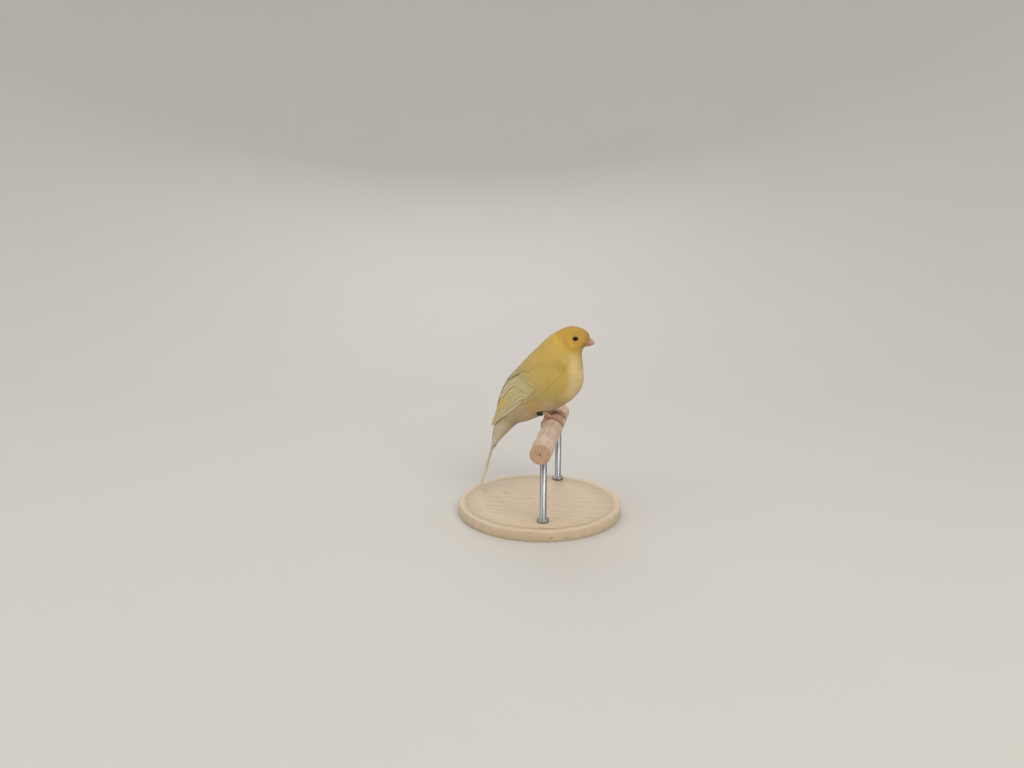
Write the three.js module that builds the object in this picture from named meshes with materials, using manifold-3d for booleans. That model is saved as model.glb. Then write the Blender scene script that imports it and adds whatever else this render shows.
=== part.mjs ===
import * as THREE from 'three';
import { mergeVertices } from 'three/addons/utils/BufferGeometryUtils.js';
import Module from 'manifold-3d';

// A life-size canary that grips a short cut length of perch on a plain display stand.
// Millimetres. +X is the way the bird faces, the perch runs along Y and +Z is up.
// The origin is the centre of the underside of the base.
// Places on the bird are given from the middle of its grip, at the top of the perch.

const GAP = 0.3; // between pieces that touch
const BASE = { radius: 60, height: 8, bevel: 1.2, sides: 32 };
const PERCH = { radius: 7.5, half: 60, rings: 13, sides: 16, wave: 0.2, turns: 2.4 };
const RODS = { radius: 2.4, sides: 12, places: [-42, 50] };
const TAIL = { drop: 57, clearance: 4 }; // tip below the grip, and its air over the base
const GRIP = { x: 8, y: 18, z: BASE.height + TAIL.clearance + TAIL.drop };
const SEED = 7;

const COLOURS = {
  crown: 0xdcb13c,
  body: 0xe0c878,
  wing: 0xe6dcae,
  tail: 0xece5c4,
  horn: 0xd9aa98,
  skin: 0xc9958a,
  claw: 0x8f7468,
  eye: 0x140c08,
  ring: 0x1f4a37,
  wood: 0xcfa88e,
  base: 0xd8d2c6,
  steel: 0xa9acb0,
};

// Back and front are points of the side outline [x, z], half is the half width,
// and high moves the widest place towards the back.
const BODY = [
  { place: 'bill root', back: [25.7, 59.3], front: [22.9, 53.2], half: 3.0, high: 0 },
  { place: 'lores', back: [24.8, 62.0], front: [21.6, 51.8], half: 4.9, high: 0 },
  { place: 'brow', back: [21.9, 64.9], front: [20.6, 50.3], half: 6.9, high: 0 },
  { place: 'eye', back: [17.1, 66.8], front: [20.0, 48.3], half: 8.2, high: 0 },
  { place: 'crown', back: [11.6, 67.5], front: [20.0, 45.8], half: 8.9, high: 0 },
  { place: 'hind crown', back: [5.8, 65.7], front: [20.4, 42.6], half: 9.5, high: 0 },
  { place: 'nape', back: [0.2, 62.6], front: [21.0, 38.6], half: 10.8, high: 0 },
  { place: 'neck', back: [-5.1, 58.8], front: [21.5, 33.2], half: 13.2, high: 0 },
  { place: 'shoulder', back: [-12.0, 52.0], front: [20.7, 22.0], half: 16.6, high: 0.02 },
  { place: 'breast', back: [-18.9, 45.1], front: [13.4, 12.7], half: 18.4, high: 0.05 },
  { place: 'mid back', back: [-27.0, 36.2], front: [4.2, 6.5], half: 18.9, high: 0.08 },
  { place: 'belly', back: [-34.6, 27.8], front: [-7.2, 1.0], half: 17.3, high: 0.1 },
  { place: 'thigh', back: [-38.5, 20.9], front: [-15.2, -3.1], half: 14.9, high: 0.08 },
  { place: 'rump', back: [-41.6, 13.9], front: [-21.9, -5.7], half: 12.0, high: 0.05 },
  { place: 'vent', back: [-44.0, 5.4], front: [-27.0, -6.9], half: 9.0, high: 0 },
  { place: 'tail root', back: [-45.0, -3.2], front: [-30.6, -8.4], half: 6.6, high: 0 },
  { place: 'coverts', back: [-45.3, -8.7], front: [-33.4, -12.6], half: 5.6, high: 0 },
  { place: 'covert ends', back: [-46.1, -13.9], front: [-37.4, -16.8], half: 4.5, high: 0 },
  { place: 'tail core', back: [-46.9, -19.8], front: [-42.3, -21.2], half: 3.2, high: 0 },
];
const BODY_SIDES = 24;
const BODY_STEPS = 39;

// The thin cuts that part the body: a point of the cut and the way it faces, in the side view.
const CUTS = {
  neck: { through: [12.0, 55.2], facing: [-0.79, -0.61] },
  shoulder: { through: [6.9, 43.1], facing: [-0.65, -0.76] },
  tail: { through: [-40.5, -5.0], facing: [-0.282, -0.959] },
};

// The trunk's own line: from its start, down and back at this slope.
const TRUNK = { start: [4.9, 35.65], slope: THREE.MathUtils.degToRad(46) };

// The form that the closed wings wrap, by distance along the trunk:
// the back line, the widest line and the half width there.
const WING_FORM = [
  { along: -8, back: 22.6, axis: 1.0, half: 15.4 },
  { along: 0, back: 23.4, axis: 1.2, half: 17.2 },
  { along: 10, back: 23.7, axis: 1.4, half: 18.7 },
  { along: 22, back: 23.3, axis: 2.2, half: 19.1 },
  { along: 33, back: 22.9, axis: 4.1, half: 17.5 },
  { along: 41, back: 21.0, axis: 4.5, half: 15.0 },
  { along: 48, back: 18.4, axis: 4.6, half: 12.6 },
  { along: 56, back: 14.4, axis: 4.2, half: 10.0 },
  { along: 63, back: 10.8, axis: 3.0, half: 8.0 },
  { along: 70, back: 7.6, axis: 1.4, half: 6.4 },
];

// The closed wing's outline on that form, in degrees round from the back line.
const WING_OUTLINE = [
  { along: -6.5, inner: 84, outer: 93 },
  { along: -4.5, inner: 72, outer: 97 },
  { along: 0, inner: 58, outer: 98 },
  { along: 10, inner: 41, outer: 98 },
  { along: 22, inner: 24, outer: 98 },
  { along: 30, inner: 13, outer: 98 },
  { along: 36, inner: 4, outer: 97 },
  { along: 46, inner: 2, outer: 96 },
  { along: 54, inner: 2, outer: 88 },
  { along: 60, inner: 2, outer: 76 },
  { along: 65, inner: 3, outer: 64 },
  { along: 69.8, inner: 14, outer: 34 },
];
const WING_DEPTH = [
  { along: -6.5, depth: 1.4 },
  { along: 0, depth: 2.8 },
  { along: 24, depth: 3.5 },
  { along: 46, depth: 3.1 },
  { along: 58, depth: 3.1 },
  { along: 69.8, depth: 2.9 },
];
const WING_BED = { from: -6.5, to: 73, steps: 19, across: 6, spare: 1.2, over: 4 };

// The fore part of the wing, which its small coverts hide and every vane is rooted in.
const WING_ARM = {
  from: -5.8, full: 7, to: 17, steps: 8, across: 6, skin: 0.1, sink: 1.3, edge: 0.7, middle: 70,
};

// A vane's width from root to tip, as shares of its length and of its full width.
const VANE = {
  long: [[0, 0.7], [0.42, 0.92], [0.74, 1], [0.92, 0.72], [1, 0.26]],
  short: [[0, 0.85], [0.55, 1], [0.86, 0.72], [1, 0.28]],
  tail: [[0, 0.62], [0.72, 1], [0.93, 0.74], [1, 0.3]],
  thick: 0.6,
  outerShare: 0.42,
};

// Feather tiers of a wing. Each feather runs along the wing from root to reach, and the
// shares say how far across the wing it starts and ends, from the back edge to the front edge.
const WING_TIERS = [
  {
    name: 'primaries', shape: 'long', width: 5.4, tilt: 13, lift: [-1.15, -0.8], root: 14.5,
    reach: [52.6, 55.6, 59, 62.6, 66.2, 68.9, 69.5, 68],
    starts: [0.72, 0.76, 0.8, 0.83, 0.86, 0.89, 0.92, 0.96],
    ends: [0.3, 0.27, 0.26, 0.28, 0.34, 0.45, 0.64, 0.86],
  },
  {
    name: 'secondaries', shape: 'short', width: 5.6, tilt: 12, lift: [-1.5, -0.7], root: 15,
    reach: [48.8, 49.8, 50.6, 51.2, 51],
    starts: [0.43, 0.5, 0.57, 0.64, 0.71],
    ends: [0.32, 0.42, 0.52, 0.62, 0.72],
  },
  {
    name: 'tertials', shape: 'short', width: 8, tilt: 7, lift: [-1.2, -0.35], root: 15,
    reach: [38, 43, 47.5],
    starts: [0.22, 0.3, 0.38],
    ends: [0.11, 0.2, 0.3],
  },
  {
    name: 'primary coverts', shape: 'short', width: 3.8, tilt: 9, lift: [-1.2, -0.5], root: 12,
    reach: [31, 32.5, 31.5],
    starts: [0.82, 0.88, 0.94],
    ends: [0.84, 0.9, 0.95],
  },
  {
    name: 'greater coverts', shape: 'short', width: 4.6, tilt: 9, lift: [-1.1, -0.35], root: 13,
    reach: [31, 31.3, 31, 30.3, 29.4, 28.4, 27.4],
    starts: [0.16, 0.27, 0.38, 0.49, 0.6, 0.7, 0.78],
    ends: [0.2, 0.31, 0.42, 0.53, 0.63, 0.72, 0.8],
  },
  {
    name: 'median coverts', shape: 'short', width: 4.6, tilt: 7, lift: [-0.9, -0.1], root: 9,
    reach: [22.6, 22.8, 22.5, 21.9, 21, 20],
    starts: [0.15, 0.3, 0.45, 0.6, 0.74, 0.87],
    ends: [0.18, 0.33, 0.48, 0.62, 0.75, 0.87],
  },
  {
    name: 'alula', shape: 'short', width: 3, tilt: 8, lift: [-1.0, -0.2], root: 8,
    reach: [21.5, 24],
    starts: [0.93, 0.97],
    ends: [0.93, 0.97],
  },
];
const WING_JITTER = { along: 0.35, share: 0.008 };

// Tail vanes, as distance along the tail, across it and above its line.
const TAIL_LINE = { root: [-40.5, -5.0], facing: [-0.282, -0.959] };
const TAIL_TIERS = [
  {
    name: 'rectrices', shape: 'tail', width: 5.6, roll: 5, from: 5,
    reach: [51.5, 52.8, 53.8, 54.4, 54.5, 53.6],
    rootAcross: [0.8, 2.2], tipAcross: [1.6, 5.0], rootLift: [1.3, -0.6], tipLift: [1.2, 0.1],
  },
  {
    name: 'upper coverts', shape: 'short', width: 4.6, roll: 24, from: 4,
    reach: [17.5, 15.5, 13],
    rootAcross: [1.0, 3.1], tipAcross: [1.5, 4.1], rootLift: [2.5, 0.9], tipLift: [2.35, 0.6],
  },
  {
    name: 'under coverts', shape: 'short', width: 4.8, roll: -26, from: 6,
    reach: [30, 25.5, 21],
    rootAcross: [1.0, 2.9], tipAcross: [1.3, 3.5], rootLift: [-6.0, -4.4], tipLift: [-2.0, -1.4],
  },
];
const TAIL_MIDDLE = 0.4; // how far vanes reach over the middle, but for the topmost one
const TAIL_STAGGER = 0.17; // the left vanes lie this much under the right ones

const EYE = {
  x: 15.7, z: 59.3, face: 7.85, radius: 2.4, sunk: 1.4, lid: 2.35, lidTube: 0.42, segments: 14,
};
const BILL = {
  upper: [
    { top: [24.4, 59.8], low: [21.6, 55.4], half: 3.5 },
    { top: [25.7, 59.1], low: [23.4, 55.1], half: 3.2 },
    { top: [27.3, 58.0], low: [25.8, 54.9], half: 2.5 },
    { top: [28.6, 56.8], low: [28.0, 54.9], half: 1.45 },
    { top: [29.6, 55.4], low: [29.3, 54.8], half: 0.35 },
  ],
  lower: [
    { top: [21.4, 54.8], low: [21.0, 51.9], half: 3.2 },
    { top: [23.4, 54.5], low: [22.9, 52.5], half: 2.9 },
    { top: [25.8, 54.35], low: [25.1, 52.9], half: 2.3 },
    { top: [27.7, 54.4], low: [27.1, 53.6], half: 1.25 },
    { top: [28.7, 54.4], low: [28.5, 54.1], half: 0.35 },
  ],
  sides: 14,
  bulge: 0.12,
  nostril: { x: 25.5, y: 1.75, z: 58.1, radius: 0.5, segments: 8 },
};

const LEG = {
  apart: 9.0,
  foot: [-3.2, 2.7],
  heel: [-17.0, 4.6],
  outward: 0.6,
  radius: 1.2,
  heelRadius: 1.7,
  sides: 10,
};
const RING = { from: 4.2, length: 4.2, inner: 1.6, outer: 2.2, sides: 16 };
const PAD = { x: -2.8, z: 1.3, radius: 1.75, segments: 10 };
const TOE = { radius: 1.0, knuckle: 0.14, tip: 0.78, steps: 9, sides: 7 };
// Toes wrap the perch by degrees round it, forward of its top, and spread along it.
const TOES = [
  { name: 'inner', from: -16, to: 45, spread: 3.6, joints: 2, claw: 24 },
  { name: 'middle', from: -14, to: 64, spread: -0.2, joints: 3, claw: 26 },
  { name: 'outer', from: -16, to: 50, spread: -4.0, joints: 3, claw: 24 },
  { name: 'hind', from: -26, to: -76, spread: 0.6, joints: 1, claw: -34 },
];
const CLAW = { radius: 0.58, tip: 0.14, steps: 6, sides: 7 };

const BALL_RINGS = 0.7; // rings of a ball for each of its segments round

const SIDES = { right: -1, left: 1 };

const wasm = await Module();
wasm.setup();

// A smooth value along a row of named sizes.
function track(rows, key, name) {
  const x = rows.map((row, i) => (key === undefined ? i : row[key]));
  const y = rows.map(name);
  const last = x.length - 1;
  const slope = x.map((_, i) => {
    const a = Math.max(i - 1, 0);
    const b = Math.min(i + 1, last);
    return (y[b] - y[a]) / (x[b] - x[a]);
  });
  return (at) => {
    let i = 0;
    while (i < last - 1 && at > x[i + 1]) i += 1;
    const span = x[i + 1] - x[i];
    const t = THREE.MathUtils.clamp((at - x[i]) / span, 0, 1);
    const t2 = t * t;
    const t3 = t2 * t;
    return (2 * t3 - 3 * t2 + 1) * y[i] + (t3 - 2 * t2 + t) * span * slope[i]
      + (3 * t2 - 2 * t3) * y[i + 1] + (t3 - t2) * span * slope[i + 1];
  };
}

function onBird(x, y, z) {
  return new THREE.Vector3(GRIP.x + x, GRIP.y + y, GRIP.z + z);
}

function geometryOf(points, triangles) {
  const geometry = new THREE.BufferGeometry();
  const places = points.flatMap((p) => p.toArray());
  geometry.setAttribute('position', new THREE.Float32BufferAttribute(places, 3));
  let volume = 0;
  for (const [a, b, c] of triangles) {
    volume += points[a].dot(points[b].clone().cross(points[c]));
  }
  geometry.setIndex(triangles.flatMap(([a, b, c]) => (volume > 0 ? [a, b, c] : [a, c, b])));
  return geometry;
}

// A closed skin through rings of points, with a fan over each end.
function loft(rings) {
  const count = rings[0].length;
  const points = rings.flat();
  const triangles = [];
  for (let i = 0; i < rings.length - 1; i += 1) {
    for (let j = 0; j < count; j += 1) {
      const next = (j + 1) % count;
      const a = i * count + j;
      const b = i * count + next;
      triangles.push([a, b, b + count], [a, b + count, a + count]);
    }
  }
  for (const end of [0, rings.length - 1]) {
    const middle = new THREE.Vector3();
    rings[end].forEach((p) => middle.addScaledVector(p, 1 / count));
    points.push(middle);
    for (let j = 0; j < count; j += 1) {
      const a = end * count + j;
      const b = end * count + ((j + 1) % count);
      triangles.push(end ? [a, b, points.length - 1] : [b, a, points.length - 1]);
    }
  }
  return geometryOf(points, triangles);
}

// A closed slab between two grids of points that are split into triangles alike.
function slab(outer, inner) {
  const rows = outer.length;
  const columns = outer[0].length;
  const points = [...outer.flat(), ...inner.flat()];
  const other = rows * columns;
  const triangles = [];
  const quad = (a, b, c, d) => triangles.push([a, b, c], [a, c, d]);
  for (let i = 0; i < rows - 1; i += 1) {
    for (let j = 0; j < columns - 1; j += 1) {
      const a = i * columns + j;
      const d = a + columns;
      triangles.push([a, a + 1, d + 1], [a, d + 1, d]);
      triangles.push([other + a, other + d + 1, other + a + 1], [other + a, other + d, other + d + 1]);
    }
    for (const j of [0, columns - 1]) {
      const a = i * columns + j;
      const d = a + columns;
      if (j) quad(a, other + a, other + d, d);
      else quad(d, other + d, other + a, a);
    }
  }
  for (let j = 0; j < columns - 1; j += 1) {
    quad(j, other + j, other + j + 1, j + 1);
    const a = (rows - 1) * columns + j;
    quad(a + 1, other + a + 1, other + a, a);
  }
  return geometryOf(points, triangles);
}

function solid(geometry) {
  const bare = geometry.clone();
  bare.deleteAttribute('normal');
  bare.deleteAttribute('uv');
  const merged = mergeVertices(bare, 1e-4);
  return new wasm.Manifold(new wasm.Mesh({
    numProp: 3,
    vertProperties: merged.attributes.position.array,
    triVerts: new Uint32Array(merged.index.array),
  }));
}

function fuse(solids) {
  return solids.reduce((sum, next) => sum.add(next));
}

// The largest closed surface of a solid.
function whole(shape) {
  return shape.decompose().reduce((best, next) => (next.volume() > best.volume() ? next : best));
}

function shapeOf(manifold) {
  const mesh = manifold.getMesh();
  const geometry = new THREE.BufferGeometry();
  const position = new Float32Array(mesh.numVert * 3);
  for (let i = 0; i < mesh.numVert; i += 1) {
    for (let k = 0; k < 3; k += 1) position[i * 3 + k] = mesh.vertProperties[i * mesh.numProp + k];
  }
  geometry.setAttribute('position', new THREE.BufferAttribute(position, 3));
  geometry.setIndex(new THREE.BufferAttribute(new Uint32Array(mesh.triVerts), 1));
  geometry.computeVertexNormals();
  return geometry;
}

function linspace(from, to, count) {
  return Array.from({ length: count }, (_, i) => from + ((to - from) * i) / (count - 1));
}

// A tube of round rings along a curve, with a radius for each place on it.
function tube(curve, radiusAt, steps, sides) {
  const side = new THREE.Vector3(0, 1, 0);
  return loft(linspace(0, 1, steps).map((t) => {
    const centre = curve.getPoint(t);
    const ahead = curve.getTangent(t);
    const up = side.clone().cross(ahead).normalize();
    const across = ahead.clone().cross(up).normalize();
    return Array.from({ length: sides }, (_, j) => {
      const angle = (2 * Math.PI * (j + 0.5)) / sides;
      return centre.clone()
        .addScaledVector(up, Math.cos(angle) * radiusAt(t))
        .addScaledVector(across, Math.sin(angle) * radiusAt(t));
    });
  }));
}

// Body: one smooth form from the bill root to the core of the tail.
const body = {
  backX: track(BODY, undefined, (row) => row.back[0]),
  backZ: track(BODY, undefined, (row) => row.back[1]),
  frontX: track(BODY, undefined, (row) => row.front[0]),
  frontZ: track(BODY, undefined, (row) => row.front[1]),
  half: track(BODY, undefined, (row) => row.half),
  high: track(BODY, undefined, (row) => row.high),
};

function bodyRing(at, grow) {
  const back = onBird(body.backX(at), 0, body.backZ(at));
  const front = onBird(body.frontX(at), 0, body.frontZ(at));
  const centre = back.clone().add(front).multiplyScalar(0.5);
  const up = back.clone().sub(front).normalize();
  const tall = back.distanceTo(front) / 2 + grow;
  const ends = { 0: -1, [BODY.length - 1]: 1 };
  if (ends[at]) centre.addScaledVector(new THREE.Vector3(0, 1, 0).cross(up), -ends[at] * grow);
  return Array.from({ length: BODY_SIDES }, (_, j) => {
    const angle = (2 * Math.PI * j) / BODY_SIDES;
    const rise = Math.cos(angle) + body.high(at) * Math.sin(angle) ** 2;
    return centre.clone()
      .addScaledVector(up, rise * tall)
      .add(new THREE.Vector3(0, Math.sin(angle) * (body.half(at) + grow), 0));
  });
}

function bodyForm(grow = 0) {
  return solid(loft(linspace(0, BODY.length - 1, BODY_STEPS).map((at) => bodyRing(at, grow))));
}

// The part of a solid before or after one of the cuts.
function beyond(shape, cut, sign) {
  const facing = new THREE.Vector3(cut.facing[0], 0, cut.facing[1]).normalize().multiplyScalar(sign);
  const through = onBird(cut.through[0], 0, cut.through[1]);
  return shape.trimByPlane(facing.toArray(), through.dot(facing) + GAP / 2);
}

// Wings: closed over the back and flanks on a form of their own.
const trunkBack = new THREE.Vector3(-Math.sin(TRUNK.slope), 0, Math.cos(TRUNK.slope));
const trunkAlong = new THREE.Vector3(-Math.cos(TRUNK.slope), 0, -Math.sin(TRUNK.slope));
const form = {
  back: track(WING_FORM, 'along', (row) => row.back),
  axis: track(WING_FORM, 'along', (row) => row.axis),
  half: track(WING_FORM, 'along', (row) => row.half),
};
const outline = {
  inner: track(WING_OUTLINE, 'along', (row) => row.inner),
  outer: track(WING_OUTLINE, 'along', (row) => row.outer),
  depth: track(WING_DEPTH, 'along', (row) => row.depth),
};

function wingPoint(side, along, degrees, lift) {
  const point = (a, angle) => onBird(TRUNK.start[0], 0, TRUNK.start[1])
    .addScaledVector(trunkAlong, a)
    .addScaledVector(trunkBack, form.axis(a) + (form.back(a) - form.axis(a)) * Math.cos(angle))
    .add(new THREE.Vector3(0, side * form.half(a) * Math.sin(angle), 0));
  const angle = THREE.MathUtils.degToRad(degrees);
  const small = 0.01;
  const here = point(along, angle);
  const forward = point(along + small, angle).sub(here);
  const round = point(along, angle + small).sub(here);
  const normal = forward.cross(round).normalize().multiplyScalar(-side);
  return here.addScaledVector(normal, lift);
}

// A closed patch of the wing's form between two heights over it.
function wingPatch(side, rows, across, spare, highAt, lowAt) {
  const grid = (lift) => rows.map((along) => {
    const inner = outline.inner(along) - spare(along);
    const outer = outline.outer(along) + spare(along);
    return linspace(inner, outer, across).map((angle) => wingPoint(side, along, angle, lift(along)));
  });
  return solid(slab(grid(highAt), grid(lowAt)));
}

// A thin vane: pairs of edge points along its length, each with the way its face looks.
function vane(rows) {
  const face = (share) => rows.map(({ edges, facing }) => edges.map(
    (edge) => edge.clone().addScaledVector(facing, -share * VANE.thick),
  ));
  return solid(slab(face(0), face(1)));
}

// Millimetres round the wing's form for each degree.
function roundSpeed(along, degrees) {
  const angle = THREE.MathUtils.degToRad(degrees);
  const deep = form.back(along) - form.axis(along);
  return THREE.MathUtils.degToRad(Math.hypot(deep * Math.sin(angle), form.half(along) * Math.cos(angle)));
}

function wingVane(side, tier, i, random) {
  const reach = tier.reach[i] + WING_JITTER.along * (random() - 0.5);
  const end = tier.ends[i] + WING_JITTER.share * (random() - 0.5);
  const slope = Math.tan(THREE.MathUtils.degToRad(tier.tilt));
  return vane(VANE[tier.shape].map(([t, wide]) => {
    const along = THREE.MathUtils.lerp(tier.root, reach, t);
    const lift = THREE.MathUtils.lerp(tier.lift[0], tier.lift[1], t);
    const share = THREE.MathUtils.lerp(tier.starts[i], end, t);
    const middle = THREE.MathUtils.lerp(outline.inner(along), outline.outer(along), share);
    const speed = roundSpeed(along, middle);
    const low = outline.inner(along) + GAP / speed;
    const high = outline.outer(along) - GAP / speed;
    const spans = [-(1 - VANE.outerShare), VANE.outerShare].map((k) => k * tier.width * wide);
    const edges = spans.map((span) => wingPoint(
      side, along, THREE.MathUtils.clamp(middle + span / speed, low, high), lift + slope * span,
    ));
    const facing = wingPoint(side, along, middle, 1).sub(wingPoint(side, along, middle, 0));
    return { edges, facing };
  }));
}

function wingArm(side) {
  const { from, full, to, steps, across, skin, sink, edge, middle } = WING_ARM;
  const fall = (along) => Math.max(0, (along - full) / (to - full));
  return wingPatch(
    side, linspace(from, to, steps), across, (along) => -GAP / roundSpeed(along, middle),
    (along) => THREE.MathUtils.lerp(-skin, -sink, fall(along)),
    (along) => THREE.MathUtils.lerp(skin - outline.depth(along), -sink - edge, fall(along)),
  );
}

function wing(side, random) {
  const vanes = WING_TIERS.flatMap(
    (tier) => tier.reach.map((_, i) => wingVane(side, tier, i, random)),
  );
  return fuse([wingArm(side), ...vanes]);
}

// The shallow bed in the body that a closed wing lies in.
function wingBed(side) {
  const rows = linspace(WING_BED.from, WING_BED.to, WING_BED.steps);
  return wingPatch(
    side, rows, WING_BED.across, () => WING_BED.spare,
    () => WING_BED.over, (along) => -outline.depth(along) - GAP,
  );
}

// Tail.
const tailAlong = new THREE.Vector3(TAIL_LINE.facing[0], 0, TAIL_LINE.facing[1]).normalize();
const tailUp = new THREE.Vector3(0, 1, 0).cross(tailAlong);

function tailPoint(along, across, lift) {
  return onBird(TAIL_LINE.root[0], 0, TAIL_LINE.root[1])
    .addScaledVector(tailAlong, along)
    .addScaledVector(tailUp, lift)
    .add(new THREE.Vector3(0, across, 0));
}

function tailVane(side, tier, i) {
  const share = i / (tier.reach.length - 1);
  const at = ([first, last]) => THREE.MathUtils.lerp(first, last, share);
  const slope = -Math.tan(THREE.MathUtils.degToRad(tier.roll));
  const under = side > 0 ? TAIL_STAGGER : 0;
  const topmost = i === 0 && side < 0;
  return vane(VANE[tier.shape].map(([t, wide]) => {
    const along = THREE.MathUtils.lerp(tier.from, tier.reach[i], t);
    const across = THREE.MathUtils.lerp(at(tier.rootAcross), at(tier.tipAcross), t);
    const lift = THREE.MathUtils.lerp(at(tier.rootLift), at(tier.tipLift), t) - under;
    const spans = [-(1 - VANE.outerShare), VANE.outerShare].map((k) => {
      const span = k * tier.width * wide;
      return topmost ? span : Math.max(span, -across - TAIL_MIDDLE);
    });
    return {
      edges: spans.map((span) => tailPoint(along, side * (across + span), lift + slope * span)),
      facing: tailUp,
    };
  }));
}

function tailVanes() {
  return TAIL_TIERS.flatMap((tier) => Object.values(SIDES).flatMap(
    (side) => tier.reach.map((_, i) => tailVane(side, tier, i)),
  ));
}

// Head: sockets with raised lids, and the two halves of the bill.
function ball(centre, radius, segments) {
  const geometry = new THREE.SphereGeometry(radius, segments, Math.round(segments * BALL_RINGS));
  return geometry.translate(centre.x, centre.y, centre.z);
}

function headSide(side) {
  const at = onBird(EYE.x, 0, EYE.z);
  const y = side * (EYE.face - EYE.sunk);
  return at.add(new THREE.Vector3(0, y, 0));
}

function lid(side) {
  const centre = headSide(side).add(new THREE.Vector3(0, side * EYE.sunk, 0));
  const ring = new THREE.TorusGeometry(EYE.lid, EYE.lidTube, 6, 16);
  ring.rotateX(Math.PI / 2);
  return solid(ring.translate(centre.x, centre.y, centre.z));
}

function billHalf(rows, flat) {
  return solid(loft(rows.map(({ top, low, half }) => {
    const high = onBird(top[0], 0, top[1]);
    const under = onBird(low[0], 0, low[1]);
    const centre = high.clone().add(under).multiplyScalar(0.5);
    const up = high.clone().sub(under).multiplyScalar(0.5);
    return Array.from({ length: BILL.sides }, (_, j) => {
      const angle = (2 * Math.PI * j) / BILL.sides;
      const rise = Math.cos(angle);
      const level = rise * flat > 0 ? 2 * rise - flat : BILL.bulge * rise - flat;
      return centre.clone().addScaledVector(up, level).add(new THREE.Vector3(0, Math.sin(angle) * half, 0));
    });
  })));
}

// Legs and feet.
function legLine(side) {
  return new THREE.LineCurve3(
    onBird(LEG.foot[0], side * LEG.apart, LEG.foot[1]),
    onBird(LEG.heel[0], side * (LEG.apart + LEG.outward), LEG.heel[1]),
  );
}

function toeCurve(side, toe, from, to, tuck) {
  const points = linspace(0, 1, 8).map((t) => {
    const turn = THREE.MathUtils.degToRad(from + (to - from) * t);
    const reach = PERCH.radius + GAP + TOE.radius - tuck * t * t;
    const share = (from + (to - from) * t - toe.from) / (toe.to - toe.from);
    const across = side * (LEG.apart - toe.spread * Math.min(share, 1.15) ** 0.8);
    return onBird(reach * Math.sin(turn), across, reach * Math.cos(turn) - PERCH.radius);
  });
  return new THREE.CatmullRomCurve3(points);
}

function toeForm(side, toe) {
  const radius = (t) => {
    const knuckles = TOE.knuckle * Math.cos(2 * Math.PI * toe.joints * t);
    return THREE.MathUtils.lerp(TOE.radius, TOE.tip, t) + knuckles;
  };
  return solid(tube(toeCurve(side, toe, toe.from, toe.to, 0), radius, TOE.steps, TOE.sides));
}

function clawForm(side, toe) {
  const reach = PERCH.radius + TOE.radius;
  const step = Math.sign(toe.claw) * THREE.MathUtils.radToDeg(GAP * 1.2 / reach);
  const curve = toeCurve(side, toe, toe.to + step, toe.to + step + toe.claw, 0.75);
  const radius = (t) => THREE.MathUtils.lerp(CLAW.radius, CLAW.tip, t);
  return solid(tube(curve, radius, CLAW.steps, CLAW.sides));
}

function foot(side) {
  const pad = ball(onBird(PAD.x, side * LEG.apart, PAD.z), PAD.radius, PAD.segments);
  return fuse([solid(pad), ...TOES.map((toe) => toeForm(side, toe))]);
}

function ringForm(side, inner, outer, spare) {
  const line = legLine(side);
  const ahead = line.getTangent(0);
  const profile = [
    [inner, -spare],
    [outer, -spare],
    [outer, RING.length + spare],
    [inner, RING.length + spare],
    [inner, -spare],
  ].map(([r, y]) => new THREE.Vector2(r, y));
  const ring = new THREE.LatheGeometry(profile, RING.sides);
  ring.applyQuaternion(new THREE.Quaternion().setFromUnitVectors(new THREE.Vector3(0, 1, 0), ahead));
  const start = line.getPoint(0).addScaledVector(ahead, RING.from);
  return solid(ring.translate(start.x, start.y, start.z));
}

// Perch and stand.
// The branch swells and thins a little along its length.
function perchForm(grow) {
  const rings = linspace(-PERCH.half, PERCH.half, PERCH.rings).map((y, i) => {
    const end = i === 0 || i === PERCH.rings - 1;
    const reach = end ? y + Math.sign(y) * grow : y;
    const swell = PERCH.wave * Math.sin((2 * Math.PI * PERCH.turns * y) / PERCH.half) - PERCH.wave;
    return Array.from({ length: PERCH.sides }, (_, j) => {
      const angle = (2 * Math.PI * j) / PERCH.sides;
      const radius = PERCH.radius + swell + grow;
      return new THREE.Vector3(
        GRIP.x + radius * Math.cos(angle), reach, GRIP.z - PERCH.radius + radius * Math.sin(angle),
      );
    });
  });
  return solid(loft(rings));
}

function baseForm() {
  const { radius, height, bevel } = BASE;
  const profile = [
    [0, 0], [radius - bevel / 2, 0], [radius, bevel / 2],
    [radius, height - bevel], [radius - bevel, height], [0, height],
  ].map(([r, z]) => new THREE.Vector2(r, z));
  return solid(new THREE.LatheGeometry(profile, BASE.sides).rotateX(Math.PI / 2));
}

function rodForm(y) {
  const from = BASE.height + GAP;
  const length = GRIP.z - PERCH.radius - from;
  const rod = new THREE.CylinderGeometry(RODS.radius, RODS.radius, length, RODS.sides);
  return solid(rod.rotateX(Math.PI / 2).translate(GRIP.x, y, from + length / 2));
}

// Seeded, so that every build draws the same small differences.
function randomFrom(seed) {
  let state = seed;
  return () => {
    state = (state * 1664525 + 1013904223) % 4294967296;
    return state / 4294967296;
  };
}

const canary = new THREE.Group();
const random = randomFrom(SEED);

function add(name, manifold, colour, roughness, metalness = 0) {
  const material = new THREE.MeshStandardMaterial({ color: colour, roughness, metalness });
  const mesh = new THREE.Mesh(shapeOf(whole(manifold)), material);
  mesh.name = name;
  canary.add(mesh);
}

const wholeBody = bodyForm();
const grownBody = bodyForm(GAP);
const grownPerch = perchForm(GAP);

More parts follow.
